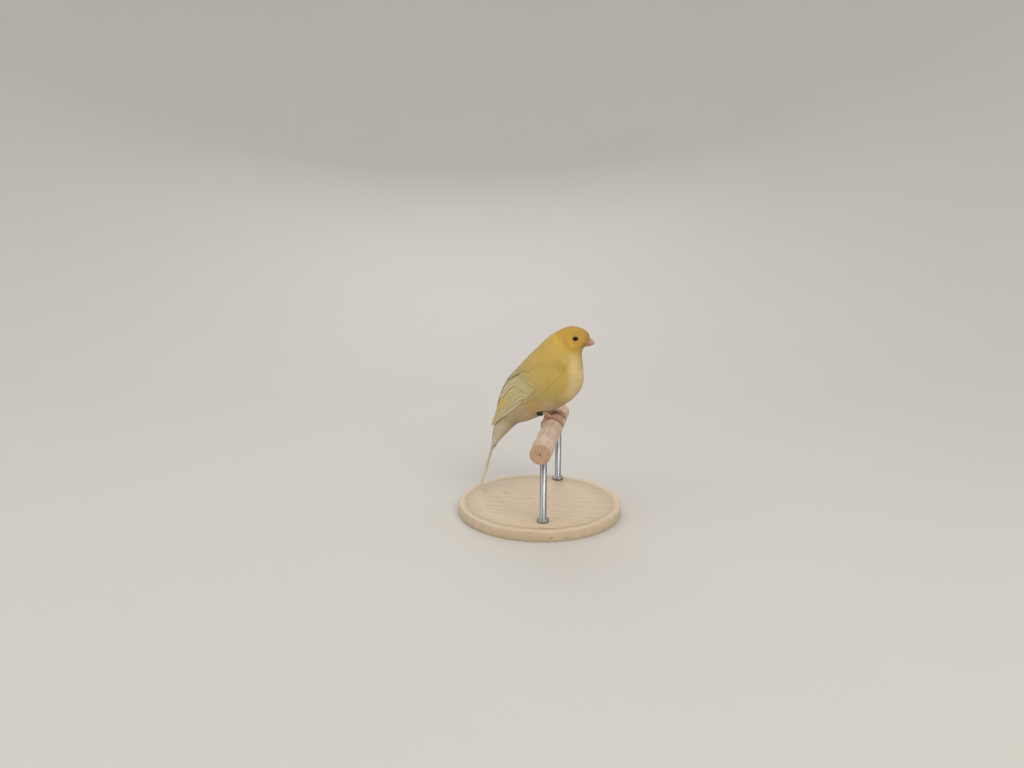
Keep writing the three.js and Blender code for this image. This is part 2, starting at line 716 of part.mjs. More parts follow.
let head = beyond(wholeBody, CUTS.neck, -1);
let trunk = beyond(beyond(wholeBody, CUTS.shoulder, 1), CUTS.tail, -1);
let tail = fuse([beyond(wholeBody, CUTS.tail, 1), ...tailVanes()]);
for (const side of Object.values(SIDES)) {
  const bed = wingBed(side);
  head = head.add(lid(side)).subtract(solid(ball(headSide(side), EYE.radius + GAP, EYE.segments)));
  trunk = trunk.subtract(bed).subtract(ringForm(side, 0, RING.outer + GAP, GAP));
  tail = tail.subtract(bed);
}
let neck = beyond(beyond(wholeBody, CUTS.neck, 1), CUTS.shoulder, -1);
for (const side of Object.values(SIDES)) neck = neck.subtract(wingBed(side));

add('head', head, COLOURS.crown, 0.8);
add('neck', neck, COLOURS.body, 0.85);
add('torso', trunk, COLOURS.body, 0.85);
add('tail', tail, COLOURS.tail, 0.7);

let billUpper = billHalf(BILL.upper, 1).subtract(grownBody);
for (const side of Object.values(SIDES)) {
  const { x, y, z, radius, segments } = BILL.nostril;
  billUpper = billUpper.subtract(solid(ball(onBird(x, side * y, z), radius, segments)));
}
add('bill_upper', billUpper, COLOURS.horn, 0.4);
add('bill_lower', billHalf(BILL.lower, -1).subtract(grownBody), COLOURS.horn, 0.4);

for (const [name, side] of Object.entries(SIDES)) {
  add(`eye_${name}`, solid(ball(headSide(side), EYE.radius, EYE.segments)), COLOURS.eye, 0.05);
  add(`wing_${name}`, wing(side, random), COLOURS.wing, 0.7);

  const legRadius = (t) => THREE.MathUtils.lerp(LEG.radius, LEG.heelRadius, t ** 3);
  const leg = solid(tube(legLine(side), legRadius, 6, LEG.sides));
  const ankle = solid(ball(onBird(PAD.x, side * LEG.apart, PAD.z), PAD.radius + GAP, PAD.segments));
  const hollow = ringForm(side, 0, RING.outer, 0);
  add(`leg_${name}`, leg.subtract(grownBody.subtract(hollow)).subtract(ankle), COLOURS.skin, 0.6);
  add(`foot_${name}`, foot(side).subtract(grownPerch), COLOURS.skin, 0.6);
  for (const toe of TOES) {
    add(`claw_${toe.name}_${name}`, clawForm(side, toe).subtract(grownPerch), COLOURS.claw, 0.45);
  }
}
add('leg_ring', ringForm(SIDES.right, RING.inner, RING.outer, 0), COLOURS.ring, 0.35);

add('perch', perchForm(0), COLOURS.wood, 0.75);
add('stand_base', baseForm(), COLOURS.base, 0.6);
RODS.places.forEach((y, i) => {
  add(`stand_rod_${i + 1}`, rodForm(y).subtract(grownPerch), COLOURS.steel, 0.3, 1);
});

export default canary;
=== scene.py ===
import math

import bpy
import numpy as np
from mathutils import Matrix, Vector
from mathutils.bvhtree import BVHTree


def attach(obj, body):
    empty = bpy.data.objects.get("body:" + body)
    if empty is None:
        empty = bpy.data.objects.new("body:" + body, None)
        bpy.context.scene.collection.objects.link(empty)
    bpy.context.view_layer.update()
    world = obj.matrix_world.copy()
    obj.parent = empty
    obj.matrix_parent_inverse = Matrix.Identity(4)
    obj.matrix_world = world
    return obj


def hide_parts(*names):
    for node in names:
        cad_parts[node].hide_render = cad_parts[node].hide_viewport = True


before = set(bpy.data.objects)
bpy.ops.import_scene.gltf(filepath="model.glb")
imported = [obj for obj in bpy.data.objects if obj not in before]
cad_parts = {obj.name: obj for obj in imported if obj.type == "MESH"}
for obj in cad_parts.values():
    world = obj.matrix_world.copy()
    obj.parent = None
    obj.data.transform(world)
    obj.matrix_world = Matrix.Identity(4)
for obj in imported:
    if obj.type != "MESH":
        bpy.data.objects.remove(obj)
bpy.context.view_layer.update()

print("frame loaded,", len(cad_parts), "nodes")

# A canary gripping a cut length of perch on a plain display stand. Shapes are worked out in
# millimetres and written to the meshes in metres. Places on the bird are measured from its grip,
# the top of the perch halfway between its feet.
millimetre = 0.001
grip = np.array([8.0, 18.0, 69.0])
dice = np.random.default_rng(11)
sides = {"right": -1, "left": 1}


# camera, floor and light

view = {
    "place": (0.0713, -0.5394, 0.2098),
    "left": 9.7,            # degrees that the lens looks to the left of +Y
    "down": 11.8,           # degrees under the horizon
    "lens": 27.04,
    "sensor": 36.0,
    "near": 0.01,
}
studio = {
    "floorReach": 1.7,      # the floor is round, and curves up into a pale wall on every side
    "bend": 1.15,
    "wall": 1.3,
    "around": 96,
    "floorColour": (0.80, 0.79, 0.77),
    "floorMottle": (0.84, 0.83, 0.81),
    "worldColour": (1.0, 0.98, 0.96),
    "worldStrength": 0.72,
    "lamps": [
        # name, place, size, power, colour
        ("key", (0.62, -0.80, 0.95), 0.9, 7.0, (1.0, 0.96, 0.90)),
        ("fill", (-0.85, -0.55, 0.50), 0.9, 2.5, (1.0, 0.97, 0.93)),
        ("back", (-0.25, 0.90, 0.85), 0.7, 3.0, (0.96, 0.98, 1.0)),
    ],
    "aim": (0.0, 0.0, 0.08),
}


def linear(colour):  # from the screen values that colours are given in here
    return tuple(c / 12.92 if c <= 0.04045 else ((c + 0.055) / 1.055) ** 2.4 for c in colour)


def makeCamera():
    lens = bpy.data.cameras.new("camera")
    lens.lens = view["lens"]
    lens.sensor_width = view["sensor"]
    lens.clip_start = view["near"]
    camera = bpy.data.objects.new("camera", lens)
    left = math.radians(view["left"])
    down = math.radians(view["down"])
    ahead = Vector((-math.sin(left) * math.cos(down), math.cos(left) * math.cos(down), -math.sin(down)))
    camera.rotation_euler = ahead.to_track_quat("-Z", "Y").to_euler()
    camera.location = view["place"]
    bpy.context.scene.collection.objects.link(camera)
    bpy.context.scene.camera = camera


def makeLights():
    for name, place, size, power, colour in studio["lamps"]:
        lamp = bpy.data.lights.new(name, "AREA")
        lamp.size = size
        lamp.energy = power
        lamp.color = colour
        thing = bpy.data.objects.new(name, lamp)
        thing.location = place
        thing.rotation_euler = (Vector(studio["aim"]) - Vector(place)).to_track_quat("-Z", "Y").to_euler()
        bpy.context.scene.collection.objects.link(thing)
    world = bpy.data.worlds.new("studio")
    world.use_nodes = True
    sky = world.node_tree.nodes["Background"]
    sky.inputs["Color"].default_value = (*studio["worldColour"], 1.0)
    sky.inputs["Strength"].default_value = studio["worldStrength"]
    bpy.context.scene.world = world
    bpy.context.scene.view_settings.view_transform = "Standard"


makeCamera()
makeLights()
print("camera and lights set")


# shader maths

class Wire:  # one output of a material's tree, so that its maths reads as maths
    def __init__(self, paint, socket):
        self.paint = paint
        self.socket = socket

    def maths(self, operation, *values):
        return self.paint.node("ShaderNodeMath", {"operation": operation}, dict(enumerate(values)))

    def __add__(self, other):
        return self.maths("ADD", self, other)

    __radd__ = __add__

    def __sub__(self, other):
        return self.maths("SUBTRACT", self, other)

    def __rsub__(self, other):
        return self.maths("SUBTRACT", other, self)

    def __mul__(self, other):
        return self.maths("MULTIPLY", self, other)

    __rmul__ = __mul__

    def __truediv__(self, other):
        return self.maths("DIVIDE", self, other)

    def size(self):
        return self.maths("ABSOLUTE", self)

    def wave(self):
        return self.maths("SINE", self) * 0.5 + 0.5

    def squared(self):
        return self * self

    def root(self):
        return self.maths("SQRT", self)

    def fraction(self):
        return self.maths("FRACT", self)

    def rise(self, low, high):  # 0 at low, 1 at high, smooth between
        settings = {"interpolation_type": "SMOOTHSTEP"}
        inputs = {"Value": self, "From Min": low, "From Max": high}
        return self.paint.node("ShaderNodeMapRange", settings, inputs)

    def band(self, start, end):  # 1 between two rises
        return self.rise(*start) * (1 - self.rise(*end))


class Paint:  # a material under work
    def __init__(self, name):
        self.material = bpy.data.materials.new(name)
        self.material.use_nodes = True
        self.tree = self.material.node_tree
        self.tree.nodes.clear()

    def node(self, kind, settings=None, inputs=None, out=0):
        made = self.tree.nodes.new(kind)
        for key, value in (settings or {}).items():
            setattr(made, key, value)
        for key, value in (inputs or {}).items():
            if isinstance(value, Wire):
                self.tree.links.new(value.socket, made.inputs[key])
            else:
                made.inputs[key].default_value = value
        return Wire(self, made.outputs[out]) if made.outputs else made

    def place(self):
        return self.node("ShaderNodeTexCoord", out="Object")

    def parts(self, vector):
        made = self.node("ShaderNodeSeparateXYZ", None, {0: vector})
        return [Wire(self, output) for output in made.socket.node.outputs]

    def layer(self, name, kind="Fac"):
        return self.node("ShaderNodeAttribute", {"attribute_name": name}, out=kind)

    def noise(self, scale, detail=3.0, roughness=0.55, stretch=None):  # drawn out where stretch is under 1
        vector = self.place()
        if stretch:
            vector = self.node("ShaderNodeMapping", None, {"Vector": vector, "Scale": stretch})
        inputs = {"Vector": vector, "Scale": scale, "Detail": detail, "Roughness": roughness}
        return self.node("ShaderNodeTexNoise", None, inputs)

    def mix(self, amount, under, over, blend="MIX"):
        colours = [c if isinstance(c, Wire) else (*linear(c), 1.0) for c in (under, over)]
        inputs = {0: amount, 6: colours[0], 7: colours[1]}
        return self.node("ShaderNodeMix", {"data_type": "RGBA", "blend_type": blend}, inputs, out=2)

    def shaded(self, colour, amount):  # a colour times one number
        grey = self.node("ShaderNodeCombineColor", None, {0: amount, 1: amount, 2: amount})
        return self.mix(1.0, colour, grey, "MULTIPLY")

    def bump(self, height, strength, distance):
        inputs = {"Height": height, "Strength": strength, "Distance": distance}
        return self.node("ShaderNodeBump", None, inputs)

    def finish(self, **sockets):
        names = {name.replace("_", " "): value for name, value in sockets.items()}
        surface = self.node("ShaderNodeBsdfPrincipled", None, names)
        self.node("ShaderNodeOutputMaterial", None, {"Surface": surface})
        return self.material


# meshes

leftward = np.array([0, 1, 0])


def unit(vectors):
    return vectors / np.maximum(np.linalg.norm(vectors, axis=-1, keepdims=True), 1e-12)


def between(low, high, share):
    return low + (high - low) * share


def smoothStep(value, low, high):
    t = np.clip((value - low) / (high - low), 0, 1)
    return t * t * (3 - 2 * t)


def track(places, values):  # a smooth value along a row of named sizes
    places = np.array(places, float)
    values = np.array(values, float)
    last = len(places) - 1
    before = np.maximum(np.arange(last + 1) - 1, 0)
    after = np.minimum(np.arange(last + 1) + 1, last)
    slope = (values[after] - values[before]) / (places[after] - places[before])

    def at(place):
        place = np.asarray(place, float)
        i = np.clip(np.searchsorted(places, place) - 1, 0, last - 1)
        span = places[i + 1] - places[i]
        t = np.clip((place - places[i]) / span, 0, 1)
        low = (2 * t ** 3 - 3 * t ** 2 + 1) * values[i] + (t ** 3 - 2 * t ** 2 + t) * span * slope[i]
        high = (3 * t ** 2 - 2 * t ** 3) * values[i + 1] + (t ** 3 - t ** 2) * span * slope[i + 1]
        return low + high
    return at


def addLayer(mesh, name, values):
    kinds = {1: ("FLOAT", "value"), 2: ("FLOAT_VECTOR", "vector")}
    kind, field = kinds[values.ndim]
    layer = mesh.attributes.new(name, kind, "POINT")
    layer.data.foreach_set(field, np.asarray(values, np.float32).ravel())


def addMap(mesh, places):  # the map that a bake is written to, from one place for each point
    corners = np.empty(len(mesh.loops), np.int32)
    mesh.loops.foreach_get("vertex_index", corners)
    mesh.uv_layers.new(name="OFBake").data.foreach_set("uv", places[corners].astype(np.float32).ravel())


def makePiece(name, points, faces, material, layers=None, bakePlaces=None):
    mesh = bpy.data.meshes.new(name)
    mesh.from_pydata((np.asarray(points) * millimetre).tolist(), [], faces)
    mesh.update()
    mesh.shade_smooth()
    for key, values in (layers or {}).items():
        addLayer(mesh, key, values)
    if bakePlaces is not None:
        addMap(mesh, bakePlaces)
    mesh.materials.append(material)
    piece = bpy.data.objects.new(name, mesh)
    bpy.context.scene.collection.objects.link(piece)
    return piece


def settle(piece, slot, *nodes):  # rides on the body, and shows for its nodes
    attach(piece, "root")
    if nodes:
        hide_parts(*nodes)


def ringFaces(rings, count):  # the quads between closed rings of points
    faces = []
    for i in range(rings - 1):
        for j in range(count):
            a = i * count + j
            b = i * count + (j + 1) % count
            faces.append((a, b, b + count, a + count))
    return faces


def outward(points, faces):  # faces turned so that the closed shape has a positive volume
    points = np.asarray(points)
    volume = 0.0
    for count in (3, 4):
        some = np.array([face for face in faces if len(face) == count])
        for k in range(1, count - 1) if len(some) else ():
            volume += np.sum(points[some[:, 0]] * np.cross(points[some[:, k]], points[some[:, k + 1]]))
    return faces if volume > 0 else [face[::-1] for face in faces]


def loft(rings):  # a closed skin through rings of points, with a fan over each end
    count = len(rings[0])
    points = [p for ring in rings for p in ring]
    faces = ringFaces(len(rings), count)
    for end, flip in ((0, True), (len(rings) - 1, False)):
        points.append(np.mean(rings[end], axis=0))
        for j in range(count):
            a = end * count + j
            b = end * count + (j + 1) % count
            faces.append((b, a, len(points) - 1) if flip else (a, b, len(points) - 1))
    points = np.array(points)
    return points, outward(points, faces)


def spun(profile, around):  # a level ring of points for each radius and height
    angle = np.linspace(0, 2 * np.pi, around, endpoint=False)
    ring = np.stack([np.cos(angle), np.sin(angle), 0 * angle], -1)
    return [ring * radius + [0, 0, height] for radius, height in profile]


def lathe(profile, around):  # a closed shape from a closed outline of radius and height
    points = np.concatenate(spun(profile, around))
    faces = [tuple(k % len(points) for k in face) for face in ringFaces(len(profile) + 1, around)]
    return points, outward(points, faces)


def globe(middle, sizes, rows, around):  # a ball with its poles up and down
    tilts = np.linspace(-np.pi / 2, np.pi / 2, rows)
    rings = spun([(np.cos(tilt), np.sin(tilt)) for tilt in tilts], around)
    return loft([middle + ring * sizes for ring in rings])


def joined(shapes):  # several shapes' points and faces as one
    points = []
    faces = []
    start = 0
    for shapePoints, shapeFaces in shapes:
        points.append(np.asarray(shapePoints))
        faces.extend(tuple(k + start for k in face) for face in shapeFaces)
        start += len(shapePoints)
    return np.concatenate(points), faces


# the bird's own form, the same stations as its solids

bodyRows = [
    # back x, back z, front x, front z, half width, high, feather length, skin depth
    (25.7, 59.3, 22.9, 53.2, 3.0, 0.00, 1.2, 0.70),     # bill root
    (24.8, 62.0, 21.6, 51.8, 4.9, 0.00, 1.4, 0.50),     # lores
    (21.9, 64.9, 20.6, 50.3, 6.9, 0.00, 1.8, 0.50),     # brow
    (17.1, 66.8, 20.0, 48.3, 8.2, 0.00, 2.2, 0.60),     # eye
    (11.6, 67.5, 20.0, 45.8, 8.9, 0.00, 2.9, 0.70),     # crown
    (5.8, 65.7, 20.4, 42.6, 9.5, 0.00, 3.6, 0.80),      # hind crown
    (0.2, 62.6, 21.0, 38.6, 10.8, 0.00, 4.4, 0.95),     # nape
    (-5.1, 58.8, 21.5, 33.2, 13.2, 0.00, 5.4, 1.10),    # neck
    (-12.0, 52.0, 20.7, 22.0, 16.6, 0.02, 6.4, 1.25),   # shoulder
    (-18.9, 45.1, 13.4, 12.7, 18.4, 0.05, 7.2, 1.40),   # breast
    (-27.0, 36.2, 4.2, 6.5, 18.9, 0.08, 7.6, 1.50),     # mid back
    (-34.6, 27.8, -7.2, 1.0, 17.3, 0.10, 7.8, 1.50),    # belly
    (-38.5, 20.9, -15.2, -3.1, 14.9, 0.08, 7.8, 1.50),  # thigh
    (-41.6, 13.9, -21.9, -5.7, 12.0, 0.05, 7.6, 1.40),  # rump
    (-44.0, 5.4, -27.0, -6.9, 9.0, 0.00, 7.6, 1.30),    # vent
    (-45.0, -3.2, -30.6, -8.4, 6.6, 0.00, 8.0, 1.20),   # tail root
    (-45.3, -8.7, -33.4, -12.6, 5.6, 0.00, 8.4, 1.10),  # coverts
    (-46.1, -13.9, -37.4, -16.8, 4.5, 0.00, 8.6, 0.90),
    (-46.9, -19.8, -42.3, -21.2, 3.2, 0.00, 8.6, 0.70),
]
*bodyTracks, featherLength, skinDepth = (track(range(len(bodyRows)), column) for column in zip(*bodyRows))
bodyHalf = bodyTracks[4]
bodyLast = len(bodyRows) - 1
trunk = {"start": (4.9, 35.65), "slope": math.radians(46)}
trunkAlong = np.array([-math.cos(trunk["slope"]), 0, -math.sin(trunk["slope"])])
trunkBack = np.array([-math.sin(trunk["slope"]), 0, math.cos(trunk["slope"])])
trunkStart = np.array([trunk["start"][0], 0, trunk["start"][1]])


def lifted(base, normal, lift):
    return base + normal * np.asarray(lift, float)[..., None]


def bodyBase(at, turn):
    backX, backZ, frontX, frontZ, half, high = (column(at) for column in bodyTracks)
    flat = np.zeros_like(backX)
    back = np.stack([backX, flat, backZ], -1)
    front = np.stack([frontX, flat, frontZ], -1)
    tall = np.linalg.norm(back - front, axis=-1, keepdims=True) / 2
    up = unit(back - front)
    rise = np.cos(turn) + high * np.sin(turn) ** 2
    across = np.stack([flat, np.sin(turn) * half, flat], -1)
    return (back + front) / 2 + up * tall * rise[..., None] + across


def bodyPoint(at, turn, lift=0.0):  # turn goes round from the back line to the bird's left
    at = np.clip(np.asarray(at, float), 0, bodyLast)
    turn = np.asarray(turn, float) + 0 * at
    step = 0.01
    low = np.clip(at - step, 0, bodyLast)
    high = np.clip(at + step, 0, bodyLast)
    along = bodyBase(high, turn) - bodyBase(low, turn)
    around = bodyBase(at, turn + step) - bodyBase(at, turn - step)
    return lifted(bodyBase(at, turn), unit(np.cross(around, along)), lift + 0 * at)


wingForm = [
    # along the trunk, back line, widest line, half width
    (-8, 22.6, 1.0, 15.4),
    (0, 23.4, 1.2, 17.2),
    (10, 23.7, 1.4, 18.7),
    (22, 23.3, 2.2, 19.1),
    (33, 22.9, 4.1, 17.5),
    (41, 21.0, 4.5, 15.0),
    (48, 18.4, 4.6, 12.6),
    (56, 14.4, 4.2, 10.0),
    (63, 10.8, 3.0, 8.0),
    (70, 7.6, 1.4, 6.4),
]
wingOutline = [
    # along the trunk, degrees round from the back line to the wing's inner and outer edges
    (-6.5, 84, 93),
    (-4.5, 72, 97),
    (0, 58, 98),
    (10, 41, 98),
    (22, 24, 98),
    (30, 13, 98),
    (36, 4, 97),
    (46, 2, 96),
    (54, 2, 88),
    (60, 2, 76),
    (65, 3, 64),
    (69.8, 14, 34),
]
formAlong, *formColumns = zip(*wingForm)
formBack, formAxis, formHalf = (track(formAlong, column) for column in formColumns)
outlineAlong, *outlineColumns = zip(*wingOutline)
wingInner, wingOuter = (track(outlineAlong, column) for column in outlineColumns)


def wingBase(side, along, degrees):
    angle = np.radians(degrees)
    back = formAxis(along) + (formBack(along) - formAxis(along)) * np.cos(angle)
    across = side * formHalf(along) * np.sin(angle)
    ahead = np.asarray(along, float)[..., None] * trunkAlong
    return trunkStart + ahead + back[..., None] * trunkBack + across[..., None] * leftward


def wingPoint(side, along, degrees, lift=0.0):
    along = np.asarray(along, float)
    degrees = np.asarray(degrees, float) + 0 * along
    along = along + 0 * degrees
    step = 0.05
    ahead = wingBase(side, along + step, degrees) - wingBase(side, along - step, degrees)
    around = wingBase(side, along, degrees + step) - wingBase(side, along, degrees - step)
    out = -np.asarray(side, float)[..., None] * unit(np.cross(ahead, around))
    return lifted(wingBase(side, along, degrees), out, lift + 0 * along)


def wingTurn(along, share):  # degrees round the form, from a share of the way across the wing
    return between(wingInner(along), wingOuter(along), share)


def wingSpeed(along, degrees):  # millimetres round the wing's form for each degree
    angle = np.radians(degrees)
    deep = formBack(along) - formAxis(along)
    return np.radians(np.hypot(deep * np.sin(angle), formHalf(along) * np.cos(angle)))


def wingPlace(points):  # places along and round the closed wing, and how far inside its outline they lie
    away = points - trunkStart
    along = away @ trunkAlong
    up = away @ trunkBack
    across = np.abs(points[..., 1]) / formHalf(along)
    degrees = np.degrees(np.arctan2(across, (up - formAxis(along)) / (formBack(along) - formAxis(along))))
    speed = wingSpeed(along, degrees)
    edges = [(degrees - wingInner(along)) * speed, (wingOuter(along) - degrees) * speed]
    ends = [along - outlineAlong[0], outlineAlong[-1] - along]
    return along, degrees, np.minimum.reduce(edges + ends)


tailLine = {"root": (-40.5, -5.0), "facing": (-0.282, -0.959)}
tailAlong = unit(np.array([tailLine["facing"][0], 0, tailLine["facing"][1]]))
tailUp = np.cross(leftward, tailAlong)
tailRoot = np.array([tailLine["root"][0], 0, tailLine["root"][1]])
tailTwist = {"from": 12, "to": 40, "degrees": 13}    # about the tail's own line, as the photo shows it


def tailPoint(along, up, aside):  # a place on the tail, which turns its back a little to the near side
    turn = math.radians(tailTwist["degrees"]) * smoothStep(along, tailTwist["from"], tailTwist["to"])
    high = up * np.cos(turn) + aside * np.sin(turn)
    out = aside * np.cos(turn) - up * np.sin(turn)
    flat = tailRoot + along[..., None] * tailAlong
    return flat + high[..., None] * tailUp + out[..., None] * leftward


eye = {
    "x": 15.7, "z": 59.3, "face": 7.85, "radius": 2.15, "sunk": 1.35, "rows": 40, "around": 56,
    "headFrom": 4.0,                         # only the head's sides, this far out, hold an eye
    "openWide": 1.82, "openTall": 1.50, "lidWide": 2.25, "lidTall": 1.95,
    "bareWide": 2.35, "bareTall": 2.0,       # where the feathers stop
    "bareBack": 2.05,                        # and start again behind it
    "bead": 0.05, "beads": 34,               # small bumps along the lids' edge
    "almond": 0.10, "lidThin": 0.03, "lidAround": 136,
    "ballEdge": 0.05,                        # lids follow the ball no nearer to its edge than this
    "lidRows": [                             # share of the way out from the opening, height over the form
        (0.0, -0.25), (0.0, 0.04), (0.12, 0.13), (0.3, 0.18), (0.55, 0.16), (0.8, 0.10), (1.05, -0.2),
    ],
}


# plumage colour, shared by the skin and everything that grows on it

dress = {
    "gold": (0.87, 0.71, 0.31),       # crown and face
    "olive": (0.74, 0.60, 0.24),      # round the ear and over the eye
    "yellow": (0.80, 0.68, 0.34),     # neck and shoulder
    "green": (0.74, 0.67, 0.41),      # back
    "paleLitBack": (0.76, 0.70, 0.55),      # lower back, paler and greyer: painted light falling from the side
    "cream": (0.90, 0.81, 0.58),      # throat and breast
    "belly": (0.89, 0.79, 0.66),
    "flank": (0.82, 0.67, 0.33),
    "lemon": (0.85, 0.76, 0.42),      # rump
    "white": (0.84, 0.79, 0.69),      # under the tail
}
marks = {
    # millimetres along the trunk from the shoulder, between which a colour comes in or goes out
    "green": (2, 26), "paleLitBack": (22, 40), "belly": (14, 32), "white": (54, 66),
    "flank": ((24, 31), (34, 41)), "lemon": ((43, 48), (55, 62)), "breastEnd": (6, 24),
    # millimetres from the trunk's middle line
    "bellyDown": (2, 14), "flankDown": 5, "flankHalf": (3, 8), "lemonUp": (3, 9), "breastDown": (13, 21),
    # ahead and up on the head
    "throatAhead": (9, 15.5), "throatTop": (51, 56), "headFrom": (52, 62), "headSlope": 0.55,
    # round the eye, as squares of millimetres for the cheek
    "cheek": ((25, 46), (60, 110)), "cheekTop": (63, 68),
    "browUp": 3.6, "browTall": (0.4, 2.0), "browHalf": (2, 7),
    # how much of each colour shows
    "flankShow": 0.6, "breastShow": 0.8, "throatShow": 0.85, "cheekShow": 0.45, "browShow": 0.25,
    "patches": 160.0, "wander": 7.0,  # soft patches that break the borders, and how far
}


def birdPlace(paint):  # from the grip, with y off the middle plane, then along the trunk and up from it
    parts = paint.parts(paint.place())
    x, y, z = ((part - middle * millimetre) / millimetre for part, middle in zip(parts, grip))
    run = x - trunk["start"][0]
    climb = z - trunk["start"][1]
    ahead, up = (run * float(way[0]) + climb * float(way[2]) for way in (trunkAlong, trunkBack))
    return x, y.size(), z, ahead, up


def plumageColour(paint):
    m = marks
    x, _, z, ahead, up = birdPlace(paint)
    patchy = (paint.noise(m["patches"], 2.0) - 0.5) * m["wander"]
    ahead = ahead + patchy
    up = up + patchy
    colour = paint.mix(ahead.rise(*m["green"]), dress["yellow"], dress["green"])
    # painted light: the lower back made paler and greyer, as where light falls on it from the side
    colour = paint.mix(ahead.rise(*m["paleLitBack"]), colour, dress["paleLitBack"])
    colour = paint.mix((up * -1).rise(*m["bellyDown"]) * ahead.rise(*m["belly"]), colour, dress["belly"])
    flank = ahead.band(*m["flank"]) * (1 - (up + m["flankDown"]).size().rise(*m["flankHalf"]))
    colour = paint.mix(flank * m["flankShow"], colour, dress["flank"])
    colour = paint.mix(ahead.band(*m["lemon"]) * up.rise(*m["lemonUp"]), colour, dress["lemon"])
    colour = paint.mix(ahead.rise(*m["white"]), colour, dress["white"])
    breast = (up * -1 + x * 0.25).rise(*m["breastDown"]) * (1 - ahead.rise(*m["breastEnd"]))
    colour = paint.mix(breast * m["breastShow"], colour, dress["cream"])
    throat = (x + patchy * 0.4).rise(*m["throatAhead"]) * (1 - (z + x * 0.3).rise(*m["throatTop"]))
    colour = paint.mix(throat * m["throatShow"], colour, dress["cream"])
    head = (z + x * m["headSlope"] + patchy * 0.3).rise(*m["headFrom"])
    colour = paint.mix(head, colour, dress["gold"])
    away = (x - eye["x"]).squared() + (z - eye["z"]).squared()
    cheek = away.band(*m["cheek"]) * (1 - (z + x * 0.5).rise(*m["cheekTop"]))
    colour = paint.mix(cheek * head * m["cheekShow"], colour, dress["olive"])
    browUp = (z - eye["z"] - m["browUp"]).size()
    brow = (1 - browUp.rise(*m["browTall"])) * (1 - (x - eye["x"]).size().rise(*m["browHalf"]))
    return paint.mix(brow * m["browShow"], colour, dress["olive"])


plumage = {
    "roughness": 0.72,
    "sheen": 0.25,
    "sheenRoughness": 0.5,
    "specular": 0.25,
    "rootShade": 0.91,      # how dark a feather is at its root
    "rootReach": (0.1, 0.7),
    "tipFrost": 0.08,       # how pale it is at its tip
    "tipReach": (0.75, 1.0),
    "tipColour": (1.0, 0.98, 0.90),
    "toneSpread": 0.06,     # from feather to feather
    "barbLines": 36,        # along a feather
    "barbSlant": 0.9,
    "shaft": (0.93, 0.87, 0.66),
    "shaftHalf": (0.006, 0.02),
    "shaftShow": 0.25,
    "down": 2600.0,         # scale of the finest fibres
    "bump": (0.3, 0.0001),
}


def plumageMaterial(name, grown=True):  # grown for what the coat's tree makes, else for the skin
    p = plumage
    paint = Paint(name)
    colour = plumageColour(paint)
    fine = paint.noise(p["down"], 2.0)
    if grown:
        across, reach, _ = paint.parts(paint.layer("grain", "Vector"))
        across = (across - 0.5).size()
        barbs = ((reach - across * p["barbSlant"]) * (2 * math.pi * p["barbLines"])).wave()
        fine = fine * 0.6 + barbs
        tone = 1 - p["toneSpread"] * paint.layer("tone")
        shade = (p["rootShade"] + (1 - p["rootShade"]) * reach.rise(*p["rootReach"])) * tone
        colour = paint.mix(reach.rise(*p["tipReach"]) * p["tipFrost"], colour, p["tipColour"])
        colour = paint.shaded(colour, shade)
        colour = paint.mix((1 - across.rise(*p["shaftHalf"])) * p["shaftShow"], colour, p["shaft"])
    return paint.finish(
        Base_Color=colour, Roughness=p["roughness"], Sheen_Weight=p["sheen"],
        Sheen_Roughness=p["sheenRoughness"], Specular_IOR_Level=p["specular"],
        Normal=paint.bump(fine, *p["bump"]),
    )


skinPaint = plumageMaterial("skinPlumage", False)
coatPaint = plumageMaterial("coatPlumage")


# skin under the coat

skinSizes = {
    "rings": 200, "around": 128,
    "bedDepth": 2.3, "bedMargin": 2.0,    # how far it sinks under a wing, and over what breadth
    "socket": 1.1,                        # and inside the lids
    "mapPart": 0.9, "mapEdge": 0.05,
}


def skinPlace(at, turn):  # where a place of the skin lies on its own flat unwrap
    flat = np.stack([np.asarray(turn) / (2 * np.pi) % 1.0, np.asarray(at) / bodyLast], -1)
    return flat * skinSizes["mapPart"] + skinSizes["mapEdge"]


def makeSkin():
    at = np.linspace(0, bodyLast, skinSizes["rings"])[:, None]
    turn = np.linspace(0, 2 * np.pi, skinSizes["around"], endpoint=False)[None, :]
    at, turn = np.broadcast_arrays(at, turn)
    cover = wingPlace(bodyPoint(at, turn))[2]
    depth = skinDepth(at) + skinSizes["bedDepth"] * np.clip(cover / skinSizes["bedMargin"], 0, 1)
    points, faces = loft(list(bodyPoint(at, turn, -depth)))
    places = skinPlace(at.ravel(), turn.ravel())
    places = np.concatenate([places, places[[0, -1]]])
    surface = BVHTree.FromPolygons((points + grip).tolist(), faces)
    across = (points[:, 0] - eye["x"]) / between(eye["openWide"], eye["lidWide"], 0.5)
    tall = (points[:, 2] - eye["z"]) / between(eye["openTall"], eye["lidTall"], 0.5)
    socket = (np.hypot(across, tall) < 1) & (np.abs(points[:, 1]) > eye["headFrom"])
    points[:, 1] -= socket * np.sign(points[:, 1]) * skinSizes["socket"]
    skin = makePiece("skin", points + grip, faces, skinPaint, bakePlaces=places)
    settle(skin, "plumage_body", "head", "neck", "torso")
    return surface


def headSide(side, x, z):  # where the skin lies beside a place on the head
    start = Vector((x, side * 20, z)) + Vector(grip)
    return np.array(headSurface.ray_cast(start, Vector((0, -side, 0)))[0]) - grip


headSurface = makeSkin()
print("skin made")


# small feathers: their shapes, and the tree that sets them on the skin

